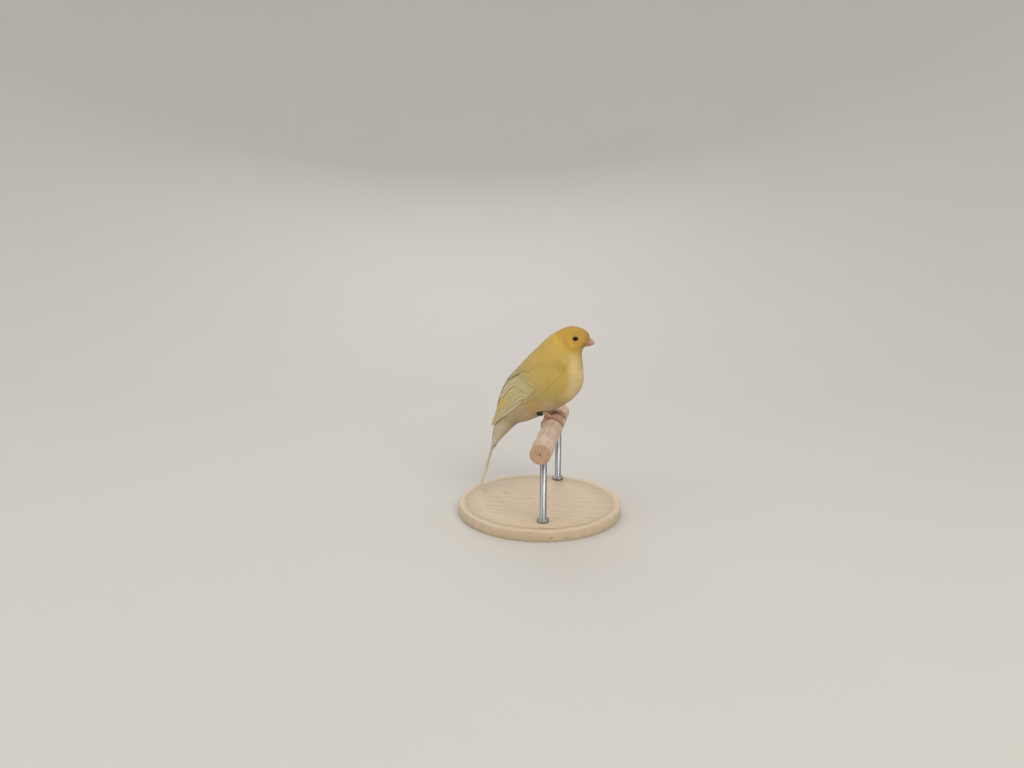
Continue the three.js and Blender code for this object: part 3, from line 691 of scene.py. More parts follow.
featherShapes = {
    "variants": 5,
    "coreRows": [(0.0, 0.10), (0.34, 0.25), (0.60, 0.28), (0.80, 0.17)],  # reach, half width
    "barbs": 34,
    "barbFoot": 0.25,               # half width at the feet of the side barbs
    "barbReach": (0.70, 0.34),      # their feet's reach, in the middle and at the sides
    "barbLength": 0.27,
    "barbSpread": (0.8, 1.15),
    "barbWidth": 0.075,
    "barbTurn": 0.12,
    "barbLift": (-0.01, 0.015),
    "fan": 0.62,
    "tuftBarbs": 16,
    "tuftFoot": 0.30,
    "tuftReach": (0, 0.3),
    "tuftSpread": (0.8, 1.0),
    "tuftShort": 0.15,              # how much shorter a tuft's outer barbs are
    "tuftWidth": 0.13,
    "tuftTurn": 0.1,
    "tuftFan": 0.30,
    "arch": 0.05,
    "cup": 0.13,
}


def featherShape(name, roll, tuft):
    s = featherShapes
    points = []
    faces = []

    def height(x, y):
        return s["arch"] * 4 * y * (1 - y) - s["cup"] * x * x

    def barb(foot, angle, length, width):
        ahead = np.array([math.sin(angle), math.cos(angle)]) * length
        beside = np.array([math.cos(angle), -math.sin(angle)]) * width / 2
        first = len(points)
        lift = roll.uniform(*s["barbLift"])
        for (x, y), up in ((foot - beside, 0), (foot + beside, 0), (foot + ahead, lift)):
            points.append((x, y, height(x, min(y, 1.0)) + up))
        faces.append((first, first + 1, first + 2))

    if tuft:
        for k in range(s["tuftBarbs"]):
            share = (k + 0.5) / s["tuftBarbs"] * 2 - 1
            foot = np.array([share * s["tuftFoot"], roll.uniform(*s["tuftReach"])])
            length = (1 - foot[1]) * roll.uniform(*s["tuftSpread"]) * (1 - s["tuftShort"] * share * share)
            angle = share * s["tuftFan"] + roll.uniform(-s["tuftTurn"], s["tuftTurn"])
            barb(foot, angle, length, s["tuftWidth"])
    else:
        for reach, half in s["coreRows"]:
            for across in (-1, 0, 1):
                points.append((across * half, reach, height(across * half, reach)))
        for i in range(len(s["coreRows"]) - 1):
            for j in range(2):
                a = i * 3 + j
                faces.append((a, a + 1, a + 4, a + 3))
        for k in range(s["barbs"]):
            share = (k + 0.5) / s["barbs"] * 2 - 1
            away = abs(share) ** 0.8 * math.copysign(1, share)
            foot = np.array([away * s["barbFoot"], between(*s["barbReach"], away * away)])
            angle = away * s["fan"] + roll.uniform(-s["barbTurn"], s["barbTurn"])
            barb(foot, angle, s["barbLength"] * roll.uniform(*s["barbSpread"]), s["barbWidth"])
    mesh = bpy.data.meshes.new(name)
    mesh.from_pydata(points, [], faces)
    mesh.shade_smooth()
    addLayer(mesh, "grain", np.array(points) + [0.5, 0, 0])
    return bpy.data.objects.new(name, mesh)


def shapeSet(name, tuft):
    group = bpy.data.collections.new(name)
    for k in range(featherShapes["variants"]):
        group.objects.link(featherShape(f"{name}{k}", np.random.default_rng(40 + k), tuft))
    return group


def coatTree():
    tree = bpy.data.node_groups.new("featherCoat", "GeometryNodeTree")
    tree.is_modifier = True
    for name, kind in (
        ("Geometry", "NodeSocketGeometry"), ("Shapes", "NodeSocketCollection"),
        ("Patch", "NodeSocketFloat"), ("Seed", "NodeSocketInt"), ("Coat", "NodeSocketMaterial"),
    ):
        tree.interface.new_socket(name, in_out="INPUT", socket_type=kind)
    tree.interface.new_socket("Geometry", in_out="OUTPUT", socket_type="NodeSocketGeometry")

    def node(kind, inputs=None, **settings):
        made = tree.nodes.new(kind)
        for key, value in settings.items():
            setattr(made, key, value)
        for key, value in (inputs or {}).items():
            if isinstance(value, bpy.types.NodeSocket):
                tree.links.new(value, made.inputs[key])
            else:
                made.inputs[key].default_value = value
        return made

    def named(name, kind="FLOAT_VECTOR"):
        return node("GeometryNodeInputNamedAttribute", {"Name": name}, data_type=kind).outputs["Attribute"]

    entry = node("NodeGroupInput").outputs
    shapes = node("GeometryNodeCollectionInfo", {
        "Collection": entry["Shapes"], "Separate Children": True, "Reset Children": True,
    })
    pick = node("FunctionNodeRandomValue", {
        "Min": 0, "Max": featherShapes["variants"] - 1, "Seed": entry["Seed"],
    }, data_type="INT")
    pickOut = [socket for socket in pick.outputs if socket.enabled][0]
    turn = node("FunctionNodeEulerToRotation", {0: named("turn")})
    placed = node("GeometryNodeInstanceOnPoints", {
        "Points": entry["Geometry"], "Instance": shapes.outputs[0], "Pick Instance": True,
        "Instance Index": pickOut, "Rotation": turn.outputs[0], "Scale": named("span"),
    })
    real = node("GeometryNodeRealizeInstances", {"Geometry": placed.outputs[0]})
    scaled = node("ShaderNodeVectorMath", {0: named("grain")}, operation="SCALE")
    tree.links.new(entry["Patch"], scaled.inputs["Scale"])
    spot = node("ShaderNodeVectorMath", {0: named("home"), 1: scaled.outputs[0]}, operation="ADD")
    stored = node("GeometryNodeStoreNamedAttribute", {
        "Geometry": real.outputs[0], "Name": "OFBake", "Value": spot.outputs[0],
    }, data_type="FLOAT2", domain="CORNER")
    painted = node("GeometryNodeSetMaterial", {"Geometry": stored.outputs[0], "Material": entry["Coat"]})
    node("NodeGroupOutput", {0: painted.outputs[0]})
    return tree


coat = {
    "step": 0.15,         # feathers' spacing along the body, in feather lengths
    "beside": 0.135,      # and across it
    "jitter": 0.3,
    "width": 0.62,        # a feather's width, in its lengths
    "wrap": 0.8,          # and at most its share of the body's half width there
    "lengths": (0.92, 1.08),
    "tipLift": (-0.07, -0.02),  # how far tips stand over the true outline, in millimetres
    "rootDepth": 0.45,    # a root's depth, as a share of the skin's
    "rootSink": 0.1,
    "besideEye": (2.0, 1.1),    # gaps from the eye between which roots go down to the skin's own depth
    "splay": 0.10,
    "patch": 0.003,
    "lap": 0.25,          # how far back and flank feathers stand over the wing that they lap
    "tuck": 2.6,          # how far rump feathers dip under the wing
    "lapEdge": 0.8,       # and over what breadth of the wing's edge they rise, or dip
    "tuckEdge": 1.5,
    "hidden": (1.0, 5.0),       # how far under the wing roots may lie, before and behind "under"
    "under": (28, 36),    # along the trunk, where feathers stop lapping the wing and dip under it
    "tailClose": 0.85,    # how far the last feathers close on the tail
    "tailTop": 0.35,
    "tailRun": 9,         # and over what length
    "cuts": (1.0, 0.8, 0.6, 0.45),      # lengths tried for feathers in front of the eye
    "tries": (0.3, 0.55, 0.8, 1.05),    # and where along them the lids may be hit
}
featherTree = coatTree()
vanedShapes = shapeSet("contourFeather", False)
tuftShapes = shapeSet("faceTuft", True)


def eulers(across, ahead, out):  # the turn that each feather's three axes make
    tilt = -np.arcsin(np.clip(across[:, 2], -1, 1))
    return np.stack([np.arctan2(ahead[:, 2], out[:, 2]), tilt, np.arctan2(across[:, 1], across[:, 0])], -1)


def growFeathers(name, slot, shapes, roots, tips, normals, widths, homes, seed):
    # homes are the roots' places on the map, and seed picks the shapes
    ahead = tips - roots
    lengths = np.linalg.norm(ahead, axis=-1)
    ahead = unit(ahead)
    across = unit(np.cross(ahead, normals))
    mesh = bpy.data.meshes.new(name)
    mesh.from_pydata(((roots + grip) * millimetre).tolist(), [], [])
    addLayer(mesh, "turn", eulers(across, ahead, np.cross(across, ahead)))
    addLayer(mesh, "span", np.stack([widths, lengths, lengths], -1) * millimetre)
    addLayer(mesh, "home", np.concatenate([homes, np.zeros((len(homes), 1))], -1))
    addLayer(mesh, "tone", dice.random(len(roots)))
    piece = bpy.data.objects.new(name, mesh)
    bpy.context.scene.collection.objects.link(piece)
    modifier = piece.modifiers.new("coat", "NODES")
    modifier.node_group = featherTree
    values = {"Shapes": shapes, "Patch": coat["patch"], "Seed": seed, "Coat": coatPaint}
    for item in featherTree.interface.items_tree:
        if item.in_out == "INPUT" and item.name in values:
            modifier[item.identifier] = values[item.name]
    graph = bpy.context.evaluated_depsgraph_get()
    made = bpy.data.meshes.new_from_object(
        piece.evaluated_get(graph), preserve_all_data_layers=True, depsgraph=graph,
    )
    piece.modifiers.clear()
    piece.data = made
    bpy.data.meshes.remove(mesh)
    for layer in ("turn", "span", "home"):
        if layer in made.attributes:
            made.attributes.remove(made.attributes[layer])
    made.name = name
    settle(piece, slot)


def roofRows(first, last):  # rows of places round the body, set like roof tiles
    ats = []
    turns = []
    fine = np.linspace(0, 2 * np.pi, 241)
    step = 0.05
    at = first
    row = 0
    while at < last:
        ring = bodyPoint(np.full_like(fine, at), fine)
        ahead = bodyPoint(np.full_like(fine, min(at + step, bodyLast)), fine)
        speed = np.linalg.norm(ahead - ring, axis=-1) / step
        length = float(featherLength(at))
        girth = np.concatenate([[0], np.cumsum(np.linalg.norm(np.diff(ring, axis=0), axis=-1))])
        count = max(6, int(girth[-1] / (coat["beside"] * length)))
        spots = (np.arange(count) + 0.5 * (row % 2)) / count * girth[-1]
        turn = np.interp(spots, girth, fine)
        fastest = speed.max()
        keep = dice.random(count) < np.interp(turn, fine, speed) / fastest
        wander = (dice.random((2, count)) - 0.5) * coat["jitter"]
        ats.append((at + wander[0] * coat["step"] * length / fastest * 2)[keep])
        turns.append((turn + wander[1] * 2 * np.pi / count * 2)[keep])
        at += coat["step"] * length / fastest
        row += 1
    return np.clip(np.concatenate(ats), 0, bodyLast - 0.01), np.concatenate(turns)


def bodySpeed(at, turn):
    step = 0.02
    high = np.minimum(at + step, bodyLast)
    return np.linalg.norm(bodyPoint(high, turn) - bodyPoint(high - step, turn), axis=-1) / step


tracts = [
    # name, first and last station, tufts or vanes
    ("coatFace", 0.0, 2.4, True),
    ("coatBrow", 2.4, 4.0, True),
    ("coatCrown", 4.0, 5.8, True),
    ("coatNape", 5.8, 7.4, False),
    ("coatBreast", 7.4, 9.0, False),
    ("coatTrunk", 9.0, 11.4, False),
    ("coatRump", 11.4, 17.6, False),
]


def eyeGap(points):  # how far off the eye's middle places on the head lie, 1 where feathers may start
    across = points[:, 0] - eye["x"]
    across = across / np.where(across < 0, eye["bareBack"], eye["bareWide"])
    tall = (points[:, 2] - eye["z"]) / eye["bareTall"]
    return np.where(np.abs(points[:, 1]) > eye["headFrom"], np.hypot(across, tall), 9)


def clearOfEye(at, turn, length, speed):  # lengths, cut in front of the eye, and which feathers clear it
    for part in coat["cuts"]:
        blocked = np.zeros(len(at), bool)
        for share in coat["tries"]:
            ahead = np.minimum(at + share * length / speed, bodyLast)
            blocked |= eyeGap(bodyPoint(ahead, turn)) < 1
        length = np.where(blocked, length * part, length)
    return length, ~blocked


def wingLifts(at, turn):  # how far a feather's end is raised over the wing, or may dip under it
    places = bodyPoint(at, turn)
    normals = bodyPoint(at, turn, 1.0) - places
    along, degrees, cover = wingPlace(places)
    side = np.where(places[:, 1] < 0, -1, 1)
    room = np.sum((wingPoint(side, along, degrees) - places) * normals, axis=-1)
    over = np.clip(cover / coat["lapEdge"] + 0.3, 0, 1) * (room + coat["lap"])
    dip = np.clip(cover / coat["tuckEdge"] + 0.4, 0, 1) * np.clip(coat["tuck"] - room, 0, coat["tuck"])
    return along, cover, over, dip


def growTract(name, first, last, tuft, number):
    at, turn = roofRows(first, last)
    rootAlong, rootCover, _, rootDip = wingLifts(at, turn)
    under = smoothStep(rootAlong, *coat["under"])
    shallow, deep = coat["hidden"]
    keep = rootCover < np.where(under > 0.5, deep, shallow)
    keep &= eyeGap(bodyPoint(at, turn)) > 1
    at, turn, under, rootDip = at[keep], turn[keep], under[keep], rootDip[keep]
    length = featherLength(at) * dice.uniform(*coat["lengths"], len(at))
    speed = bodySpeed(at, turn)
    length, keep = clearOfEye(at, turn, length, speed)
    at, turn, under, rootDip = at[keep], turn[keep], under[keep], rootDip[keep]
    length, speed = length[keep], speed[keep]
    reach = np.minimum(at + length / speed, bodyLast)
    spare = np.maximum(at + length / speed - bodyLast, 0) * speed  # what runs on past the body's end
    step = 0.02
    speedRound = np.linalg.norm(bodyPoint(at, turn + step) - bodyPoint(at, turn), axis=-1) / step
    tipTurn = turn + dice.normal(0, coat["splay"], len(at)) * length / np.maximum(speedRound, 1e-3)
    _, _, tipOver, tipDip = wingLifts(reach, tipTurn)
    besideEye = smoothStep(eyeGap(bodyPoint(at, turn)), *coat["besideEye"])
    sunk = between(coat["rootDepth"], 1, besideEye)
    rootLift = -sunk * skinDepth(at) - coat["rootSink"] - under * rootDip
    tipLift = dice.uniform(*coat["tipLift"], len(at)) + (1 - under) * tipOver - under * tipDip
    roots = bodyPoint(at, turn, rootLift)
    tips = bodyPoint(reach, tipTurn, tipLift) + spare[:, None] * tailAlong
    proud = (tips - tailRoot) @ tailUp - coat["tailTop"]
    tips -= (coat["tailClose"] * smoothStep(spare, 0, coat["tailRun"]) * proud)[:, None] * tailUp
    tips = tailPoint((tips - tailRoot) @ tailAlong, (tips - tailRoot) @ tailUp, tips[:, 1])
    middle = (at + reach) / 2
    normals = unit(bodyPoint(middle, turn, 1) - bodyPoint(middle, turn))
    widths = length * np.minimum(coat["width"], coat["wrap"] * bodyHalf(at) / length)
    slot = "plumage_head" if last < 6 else "plumage_body"
    shapes = tuftShapes if tuft else vanedShapes
    growFeathers(name, slot, shapes, roots, tips, normals, widths, skinPlace(at, turn), number)
    return len(at)


grown = sum(growTract(*tract, number) for number, tract in enumerate(tracts))
print("coat grown,", grown, "feathers")


# big feathers: closed thin vanes with a raised shaft, a cupped web and split edges

vaneSizes = {
    "rows": 34,
    "crowd": 0.9,               # rows lie closer towards the tip
    "web": [-1, -0.8, -0.58, -0.36, -0.16, -0.05, 0, 0.05, 0.16, 0.36, 0.58, 0.8, 1],
    "thick": 0.13,
    "shaft": 0.12,
    "cup": 0.10,
    "outerShare": 0.40,
    "shaftHalf": 0.1,           # as a share of the web
    "shaftFade": 0.8,           # how much of its height a shaft loses to the tip
    "splits": 2,                # nicks in each edge, where barbs have come apart
    "splitPlaces": (0.40, 0.97),
    "splitDepth": (0.10, 0.40),
    "splitLength": 0.008,
    "slant": 0.9,               # how far barbs lean to the tip
    "slantEnd": 0.2,            # and the share of the vane over which they straighten at its tip
    "chart": (0.92, 0.04),      # a vane's part of its field of the map, and its margin
}
vaneShapes = {
    # width along the vane, and where its tip starts to round
    "long": ([0, 0.42, 0.74, 0.92, 1], [0.62, 0.88, 1, 0.86, 0.74], 0.84),
    "short": ([0, 0.5, 0.84, 1], [0.8, 1, 1, 0.9], 0.74),
    "tail": ([0, 0.4, 0.8, 1], [0.6, 0.86, 1, 0.92], 0.86),
}


def vaneWidths(shape, t):
    places, widths, tip = vaneShapes[shape]
    past = np.clip((t - tip) / (1 - tip), 0, 1)
    return track(places, widths)(t) * np.sqrt(np.maximum(1 - past ** 2.2, 0.004))


def sheetFaces(rows, columns):  # quads that close a thin sheet, whose upper points come first
    other = rows * columns
    a = (np.arange(rows - 1)[:, None] * columns + np.arange(columns - 1)).ravel()
    upper = np.stack([a, a + 1, a + 1 + columns, a + columns], -1)
    lower = upper[:, ::-1] + other
    left = np.arange(rows - 1) * columns
    right = left + columns - 1
    near = np.arange(columns - 1)
    far = near + (rows - 1) * columns
    rims = [
        np.stack([left, left + columns, other + left + columns, other + left], -1),
        np.stack([right + columns, right, other + right, other + right + columns], -1),
        np.stack([near + 1, near, other + near, other + near + 1], -1),
        np.stack([far, far + 1, other + far + 1, other + far], -1),
    ]
    return [tuple(face) for face in np.concatenate([upper, lower, *rims]).tolist()]


def vaneGrid(shape, width, length, placer):
    # placer(t, across, lift) gives points for places along the vane, millimetres across and over it
    v = vaneSizes
    splits = dice.uniform(*v["splitPlaces"], (2, v["splits"]))
    depths = dice.uniform(*v["splitDepth"], (2, v["splits"]))
    near = [splits.ravel() + step * v["splitLength"] for step in (-1, 0, 0.4)]
    t = np.unique(np.concatenate([np.linspace(0, 1, v["rows"]) ** v["crowd"], *near]).clip(0, 1))
    web = np.array(v["web"])
    edges = []
    for middles, cuts in zip(splits, depths):
        edge = vaneWidths(shape, t)
        for middle, cut in zip(middles, cuts):
            edge = edge * (1 - cut * (np.abs(t - middle) < v["splitLength"] * 0.2))
        edges.append(edge[:, None])
    inner = web * edges[0] * (1 - v["outerShare"])
    outer = web * edges[1] * v["outerShare"]
    reach = np.where(web < 0, inner, outer) * width
    lean = v["slant"] * np.abs(reach) / length * np.clip((1 - t[:, None]) / v["slantEnd"], 0, 1)
    along = t[:, None] + lean
    cup = -v["cup"] * np.abs(web) ** 2 + 0 * along
    shaft = v["shaft"] * np.clip(1 - np.abs(web) / v["shaftHalf"], 0, 1) * (1 - v["shaftFade"] * t[:, None])
    top = placer(along, reach, cup + shaft)
    bottom = placer(along, reach, cup - v["thick"])
    points = np.concatenate([top.reshape(-1, 3), bottom.reshape(-1, 3)])
    faces = sheetFaces(*along.shape)
    place = np.stack([reach, along * length, web + 0 * along], -1).reshape(-1, 3)
    chart = np.stack([(web + 1) / 2 + 0 * along, t[:, None] + 0 * along], -1).reshape(-1, 2)
    return points, outward(points, faces), np.concatenate([place, place]), np.concatenate([chart, chart])


def makeVanes(name, slot, material, vanes, *nodes):  # one piece from many vanes
    points, faces = joined([vane[:2] for vane in vanes])
    tones = np.concatenate([np.full(len(vane[0]), dice.random()) for vane in vanes])
    columns = math.ceil(math.sqrt(len(vanes) * 4))
    rows = math.ceil(len(vanes) / columns)
    part, margin = vaneSizes["chart"]
    charts = []
    for k, vane in enumerate(vanes):  # each vane has its own field of the map
        corner = np.array([k % columns, k // columns])
        charts.append((vane[3] * part + margin + corner) / [columns, rows])
    layers = {"vane": np.concatenate([vane[2] for vane in vanes]), "tone": tones}
    settle(makePiece(name, points + grip, faces, material, layers, np.concatenate(charts)), slot, *nodes)


quill = {
    "wingWeb": (0.80, 0.75, 0.62), "wingEdge": (0.84, 0.76, 0.45),
    "tailWeb": (0.89, 0.86, 0.82), "tailEdge": (0.88, 0.85, 0.76),
    "shaft": (0.80, 0.75, 0.63), "shaftHalf": (0.03, 0.09),
    "lemon": (0.86, 0.75, 0.36), "lemonShow": 0.6,
    "lemonAlong": ((42, 48), (54, 60)), "lemonUp": (8, 12),   # over the rump, as on the trunk
    "outerEdge": (0.45, 1.0), "outerShow": 0.75,
    "innerEdge": (0.7, 1.0), "innerShow": 0.25,
    "barbPitch": 0.42,      # millimetres from barb to barb
    "soft": 900.0, "toneSpread": 0.08, "barbShade": 0.07,
    "roughness": 0.6, "sheen": 0.15, "specular": 0.35, "bump": (0.35, 0.0001),
    "wingSkin": (16, 34),   # along the trunk, where the body's own colour fades out of the vanes
    "tailSkin": (52, 66),
}


def quillMaterial(name, web, edge, skin):
    q = quill
    paint = Paint(name)
    across, along, share = paint.parts(paint.layer("vane", "Vector"))
    ahead, up = birdPlace(paint)[3:]
    soft = paint.noise(q["soft"], 2.0)
    inner = (share * -1).rise(*q["innerEdge"]) * q["innerShow"]
    colour = paint.mix(share.rise(*q["outerEdge"]) * q["outerShow"] + inner, q[web], q[edge])
    colour = paint.mix(1 - share.size().rise(*q["shaftHalf"]), colour, q["shaft"])
    lemon = ahead.band(*q["lemonAlong"]) * up.rise(*q["lemonUp"])
    colour = paint.mix(lemon * q["lemonShow"], colour, q["lemon"])
    colour = paint.mix(1 - ahead.rise(*q[skin]), colour, plumageColour(paint))
    barbs = ((along - across.size() * vaneSizes["slant"]) * (2 * math.pi / q["barbPitch"])).wave()
    tone = 1 - q["toneSpread"] * paint.layer("tone") - q["barbShade"] * barbs * soft
    return paint.finish(
        Base_Color=paint.shaded(colour, tone), Roughness=q["roughness"], Specular_IOR_Level=q["specular"],
        Sheen_Weight=q["sheen"], Normal=paint.bump(barbs + soft * 0.5, *q["bump"]),
    )


wingTiers = {
    # shape, count, width, tilt, root and tip lift, root, reach, starts, ends
    "primaries": (
        "long", 9, 5.2, 13, (-1.15, -0.75), 14.5,
        [52.6, 55.6, 59, 62.6, 66.2, 68.9, 69.5, 68],
        [0.72, 0.76, 0.8, 0.83, 0.86, 0.89, 0.92, 0.96], [0.3, 0.27, 0.26, 0.28, 0.34, 0.45, 0.64, 0.86],
    ),
    "secondaries": (
        "short", 6, 5.4, 12, (-1.4, -0.65), 15,
        [48.8, 49.8, 50.6, 51.2, 51], [0.43, 0.5, 0.57, 0.64, 0.71], [0.32, 0.42, 0.52, 0.62, 0.72],
    ),
    "tertials": ("short", 3, 8.0, 7, (-1.1, -0.25), 15, [38, 43, 47.5], [0.22, 0.3, 0.38], [0.11, 0.2, 0.3]),
    "primaryCoverts": (
        "short", 6, 3.0, 10, (-1.1, -0.4), 12,
        [31, 32.5, 31.5], [0.82, 0.88, 0.94], [0.84, 0.9, 0.95],
    ),
    "greaterCoverts": (
        "short", 10, 4.0, 10, (-1.0, -0.25), 13,
        [31, 31.3, 31, 30.3, 29.4, 28.4, 27.4],
        [0.16, 0.27, 0.38, 0.49, 0.6, 0.7, 0.78], [0.2, 0.31, 0.42, 0.53, 0.63, 0.72, 0.8],
    ),
    "medianCoverts": (
        "short", 10, 3.8, 8, (-0.8, 0.0), 9,
        [22.6, 22.8, 22.5, 21.9, 21, 20],
        [0.15, 0.3, 0.45, 0.6, 0.74, 0.87], [0.18, 0.33, 0.48, 0.62, 0.75, 0.87],
    ),
    "alula": ("short", 3, 2.6, 9, (-0.9, -0.1), 8, [21.5, 24], [0.93, 0.97], [0.93, 0.97]),
}
vaneJitter = {"reach": 0.3, "share": 0.004}


def spread(values, share):  # a value from a tier's row of them
    return float(np.interp(share, np.linspace(0, 1, len(values)), values))


def jitter(key):
    return dice.uniform(-vaneJitter[key], vaneJitter[key])


def wingVane(side, tier, k):
    shape, count, width, tilt, lifts, root, reaches, starts, ends = tier
    share = k / (count - 1)
    reach = spread(reaches, share) + jitter("reach")
    start = spread(starts, share)
    end = spread(ends, share) + jitter("share")
    slope = math.tan(math.radians(tilt))

    def placer(t, across, over):
        along = between(root, reach, t)
        middle = wingTurn(along, between(start, end, t))
        degrees = middle + across / wingSpeed(along, middle)
        degrees = np.clip(degrees, wingInner(along), wingOuter(along))
        return wingPoint(side, along, degrees, between(*lifts, t) + slope * across + over)
    return vaneGrid(shape, width, reach - root, placer)


wingArm = {
    "from": -6.2, "full": 7, "to": 19,    # along the trunk
    "rows": 40, "across": 30,
    "skin": 0.55, "sink": 1.2, "deep": 2.6, "round": 0.7, "square": 8,
}


def wingPad(side):  # the fore part of the wing, under its small coverts
    w = wingArm
    along = np.linspace(w["from"], w["to"], w["rows"])[:, None]
    share = np.linspace(0, 1, w["across"])[None, :]
    degrees = wingTurn(along, share)
    fall = np.clip((along - w["full"]) / (w["to"] - w["full"]), 0, 1)
    sunk = between(w["skin"], w["sink"], fall) + w["round"] * (2 * share - 1) ** w["square"]
    top = wingPoint(side, along, degrees, -sunk)
    bottom = wingPoint(side, along, degrees, -w["deep"] + 0 * fall)
    return loft([np.concatenate([over, under[::-1]]) for over, under in zip(top, bottom)])


def growWing(name, side, feathers):
    vanes = [wingVane(side, tier, k) for tier in wingTiers.values() for k in range(tier[1])]
    makeVanes(f"wingFeathers_{name}", "plumage_wing", feathers, vanes, f"wing_{name}")
    points, faces = wingPad(side)
    places = 0.5 + points[:, [0, 2]] * 0.002
    pad = makePiece(f"wingPad_{name}", points + grip, faces, skinPaint, bakePlaces=places)
    settle(pad, "plumage_wing")


lesser = {
    "from": -6.3, "to": 14.5,     # along the trunk
    "length": 5.6, "lengths": (0.85, 1.15), "step": 0.15, "beside": 0.13,
    "lift": (-0.06, 0.0), "rootDepth": 0.3,
    "jitter": (0.3, 0.01), "splay": 0.01, "edge": 0.01,
    "middle": 70,                 # degrees round, where a row's length is measured
}


def growLesserCoverts(name, side):
    w = lesser
    alongs = []
    shares = []
    along = w["from"]
    row = 0
    while along < w["to"]:
        wide = (wingOuter(along) - wingInner(along)) * wingSpeed(along, w["middle"])
        count = max(2, int(wide / (w["beside"] * w["length"])))
        shares.append((np.arange(count) + 0.25 + 0.5 * (row % 2)) / count)
        alongs.append(np.full(count, along))
        along += w["step"] * w["length"]
        row += 1
    along = np.concatenate(alongs)
    count = len(along)
    runs, turns = w["jitter"]
    inside = (w["edge"], 1 - w["edge"])
    along = along + dice.uniform(-runs, runs, count)
    share = np.clip(np.concatenate(shares) + dice.uniform(-turns, turns, count), *inside)
    length = w["length"] * dice.uniform(*w["lengths"], count)
    degrees = wingTurn(along, share)
    ahead = along + length
    tipDegrees = wingTurn(ahead, np.clip(share + dice.normal(0, w["splay"], count), *inside))
    roots = wingPoint(side, along, degrees, -wingArm["skin"] - w["rootDepth"])
    tips = wingPoint(side, ahead, tipDegrees, dice.uniform(*w["lift"], count))
    middle = (along + ahead) / 2
    normals = unit(wingPoint(side, middle, degrees, 1.0) - wingPoint(side, middle, degrees))
    homes = np.stack([0.5 + side * 0.2 + (share - 0.5) * 0.3, 0.3 + along * 0.01], -1)
    growFeathers(
        f"lesserCoverts_{name}", "plumage_wing", vanedShapes,
        roots, tips, normals, length * coat["width"], homes, 20 + side,
    )


wingPaint = quillMaterial("wingQuill", "wingWeb", "wingEdge", "wingSkin")
for name, side in sides.items():
    growWing(name, side, wingPaint)
    growLesserCoverts(name, side)
print("wings made")


# tail

rectrix = {
    "pairs": 6, "width": 5.6, "roll": 5, "from": 5,
    "reach": [51.5, 52.8, 53.8, 54.4, 54.5, 53.6],
    "rootAcross": (0.8, 2.2), "tipAcross": (1.6, 5.0),      # of the middle pair and the outermost
    "rootLift": (1.3, -0.6), "tipLift": (1.2, 0.1),
    "overMiddle": 0.4,      # how far vanes reach over the middle, but for the topmost
    "stagger": 0.17,        # how far the left vanes lie under the right ones
}


def tailVane(side, k):
    r = rectrix
    share = k / (r["pairs"] - 1)
    reach = spread(r["reach"], share) + jitter("reach")
    ends = {key: spread(r[key], share) for key in ("rootAcross", "tipAcross", "rootLift", "tipLift")}
    slope = -math.tan(math.radians(r["roll"]))
    under = r["stagger"] if side > 0 else 0.0
    topmost = k == 0 and side < 0

    def placer(t, across, over):
        middle = between(ends["rootAcross"], ends["tipAcross"], t)
        lift = between(ends["rootLift"], ends["tipLift"], t) - under
        held = across if topmost else np.maximum(across, -middle - r["overMiddle"])
        along = between(r["from"], reach, t)
        return tailPoint(along, lift + slope * held + over, side * (middle + held))
    return vaneGrid("tail", r["width"], reach - r["from"], placer)


def growTail():
    vanes = [tailVane(side, k) for side in sides.values() for k in range(rectrix["pairs"])]
    paint = quillMaterial("tailQuill", "tailWeb", "tailEdge", "tailSkin")
    makeVanes("tailFeathers", "plumage_tail", paint, vanes, "tail")


tailCoverts = {
    "count": 230, "from": 2,
    "reach": (27, 19),          # along the tail, in the middle and at the sides
    "across": (2.6, 2.9),       # half width at root and tip
    "lift": (-6.6, -0.5), "sideLift": (-4.4, -0.5),
    "length": (8.5, 11.5), "width": 0.34, "tipLift": 0.12, "rootDepth": 0.55,
    "crowd": 1.4, "first": 0.75, "rootMost": -0.4, "round": 0.9,
}


def growTailCoverts():  # soft feathers that close the belly on the underside of the tail
    c = tailCoverts
    place = dice.uniform(-1, 1, c["count"])
    out = np.abs(place)
    span = between(*c["reach"], out) - c["from"]
    length = dice.uniform(*c["length"], c["count"])
    tip = 1 - dice.random(c["count"]) ** c["crowd"] * (1 - c["first"] * length / span)
    root = np.maximum(tip - length / span, c["rootMost"])

    def tailPlace(share, sink):
        lift = between(between(*c["lift"], share), between(*c["sideLift"], share), out) + sink
        return tailPoint(c["from"] + span * share, lift, place * between(*c["across"], share))
    tips = tailPlace(tip, dice.uniform(-c["tipLift"], 0, c["count"]))
    roots = tailPlace(root, c["rootDepth"])
    normals = unit(place[:, None] * leftward * c["round"] - tailUp)
    homes = np.stack([0.5 + place * 0.1, 0.05 + 0.05 * root], -1)
    growFeathers(
        "tailCoverts", "plumage_tail", vanedShapes,
        roots, tips, normals, length * c["width"], homes, 30,
    )


growTail()
growTailCoverts()
print("tail made")


# bill

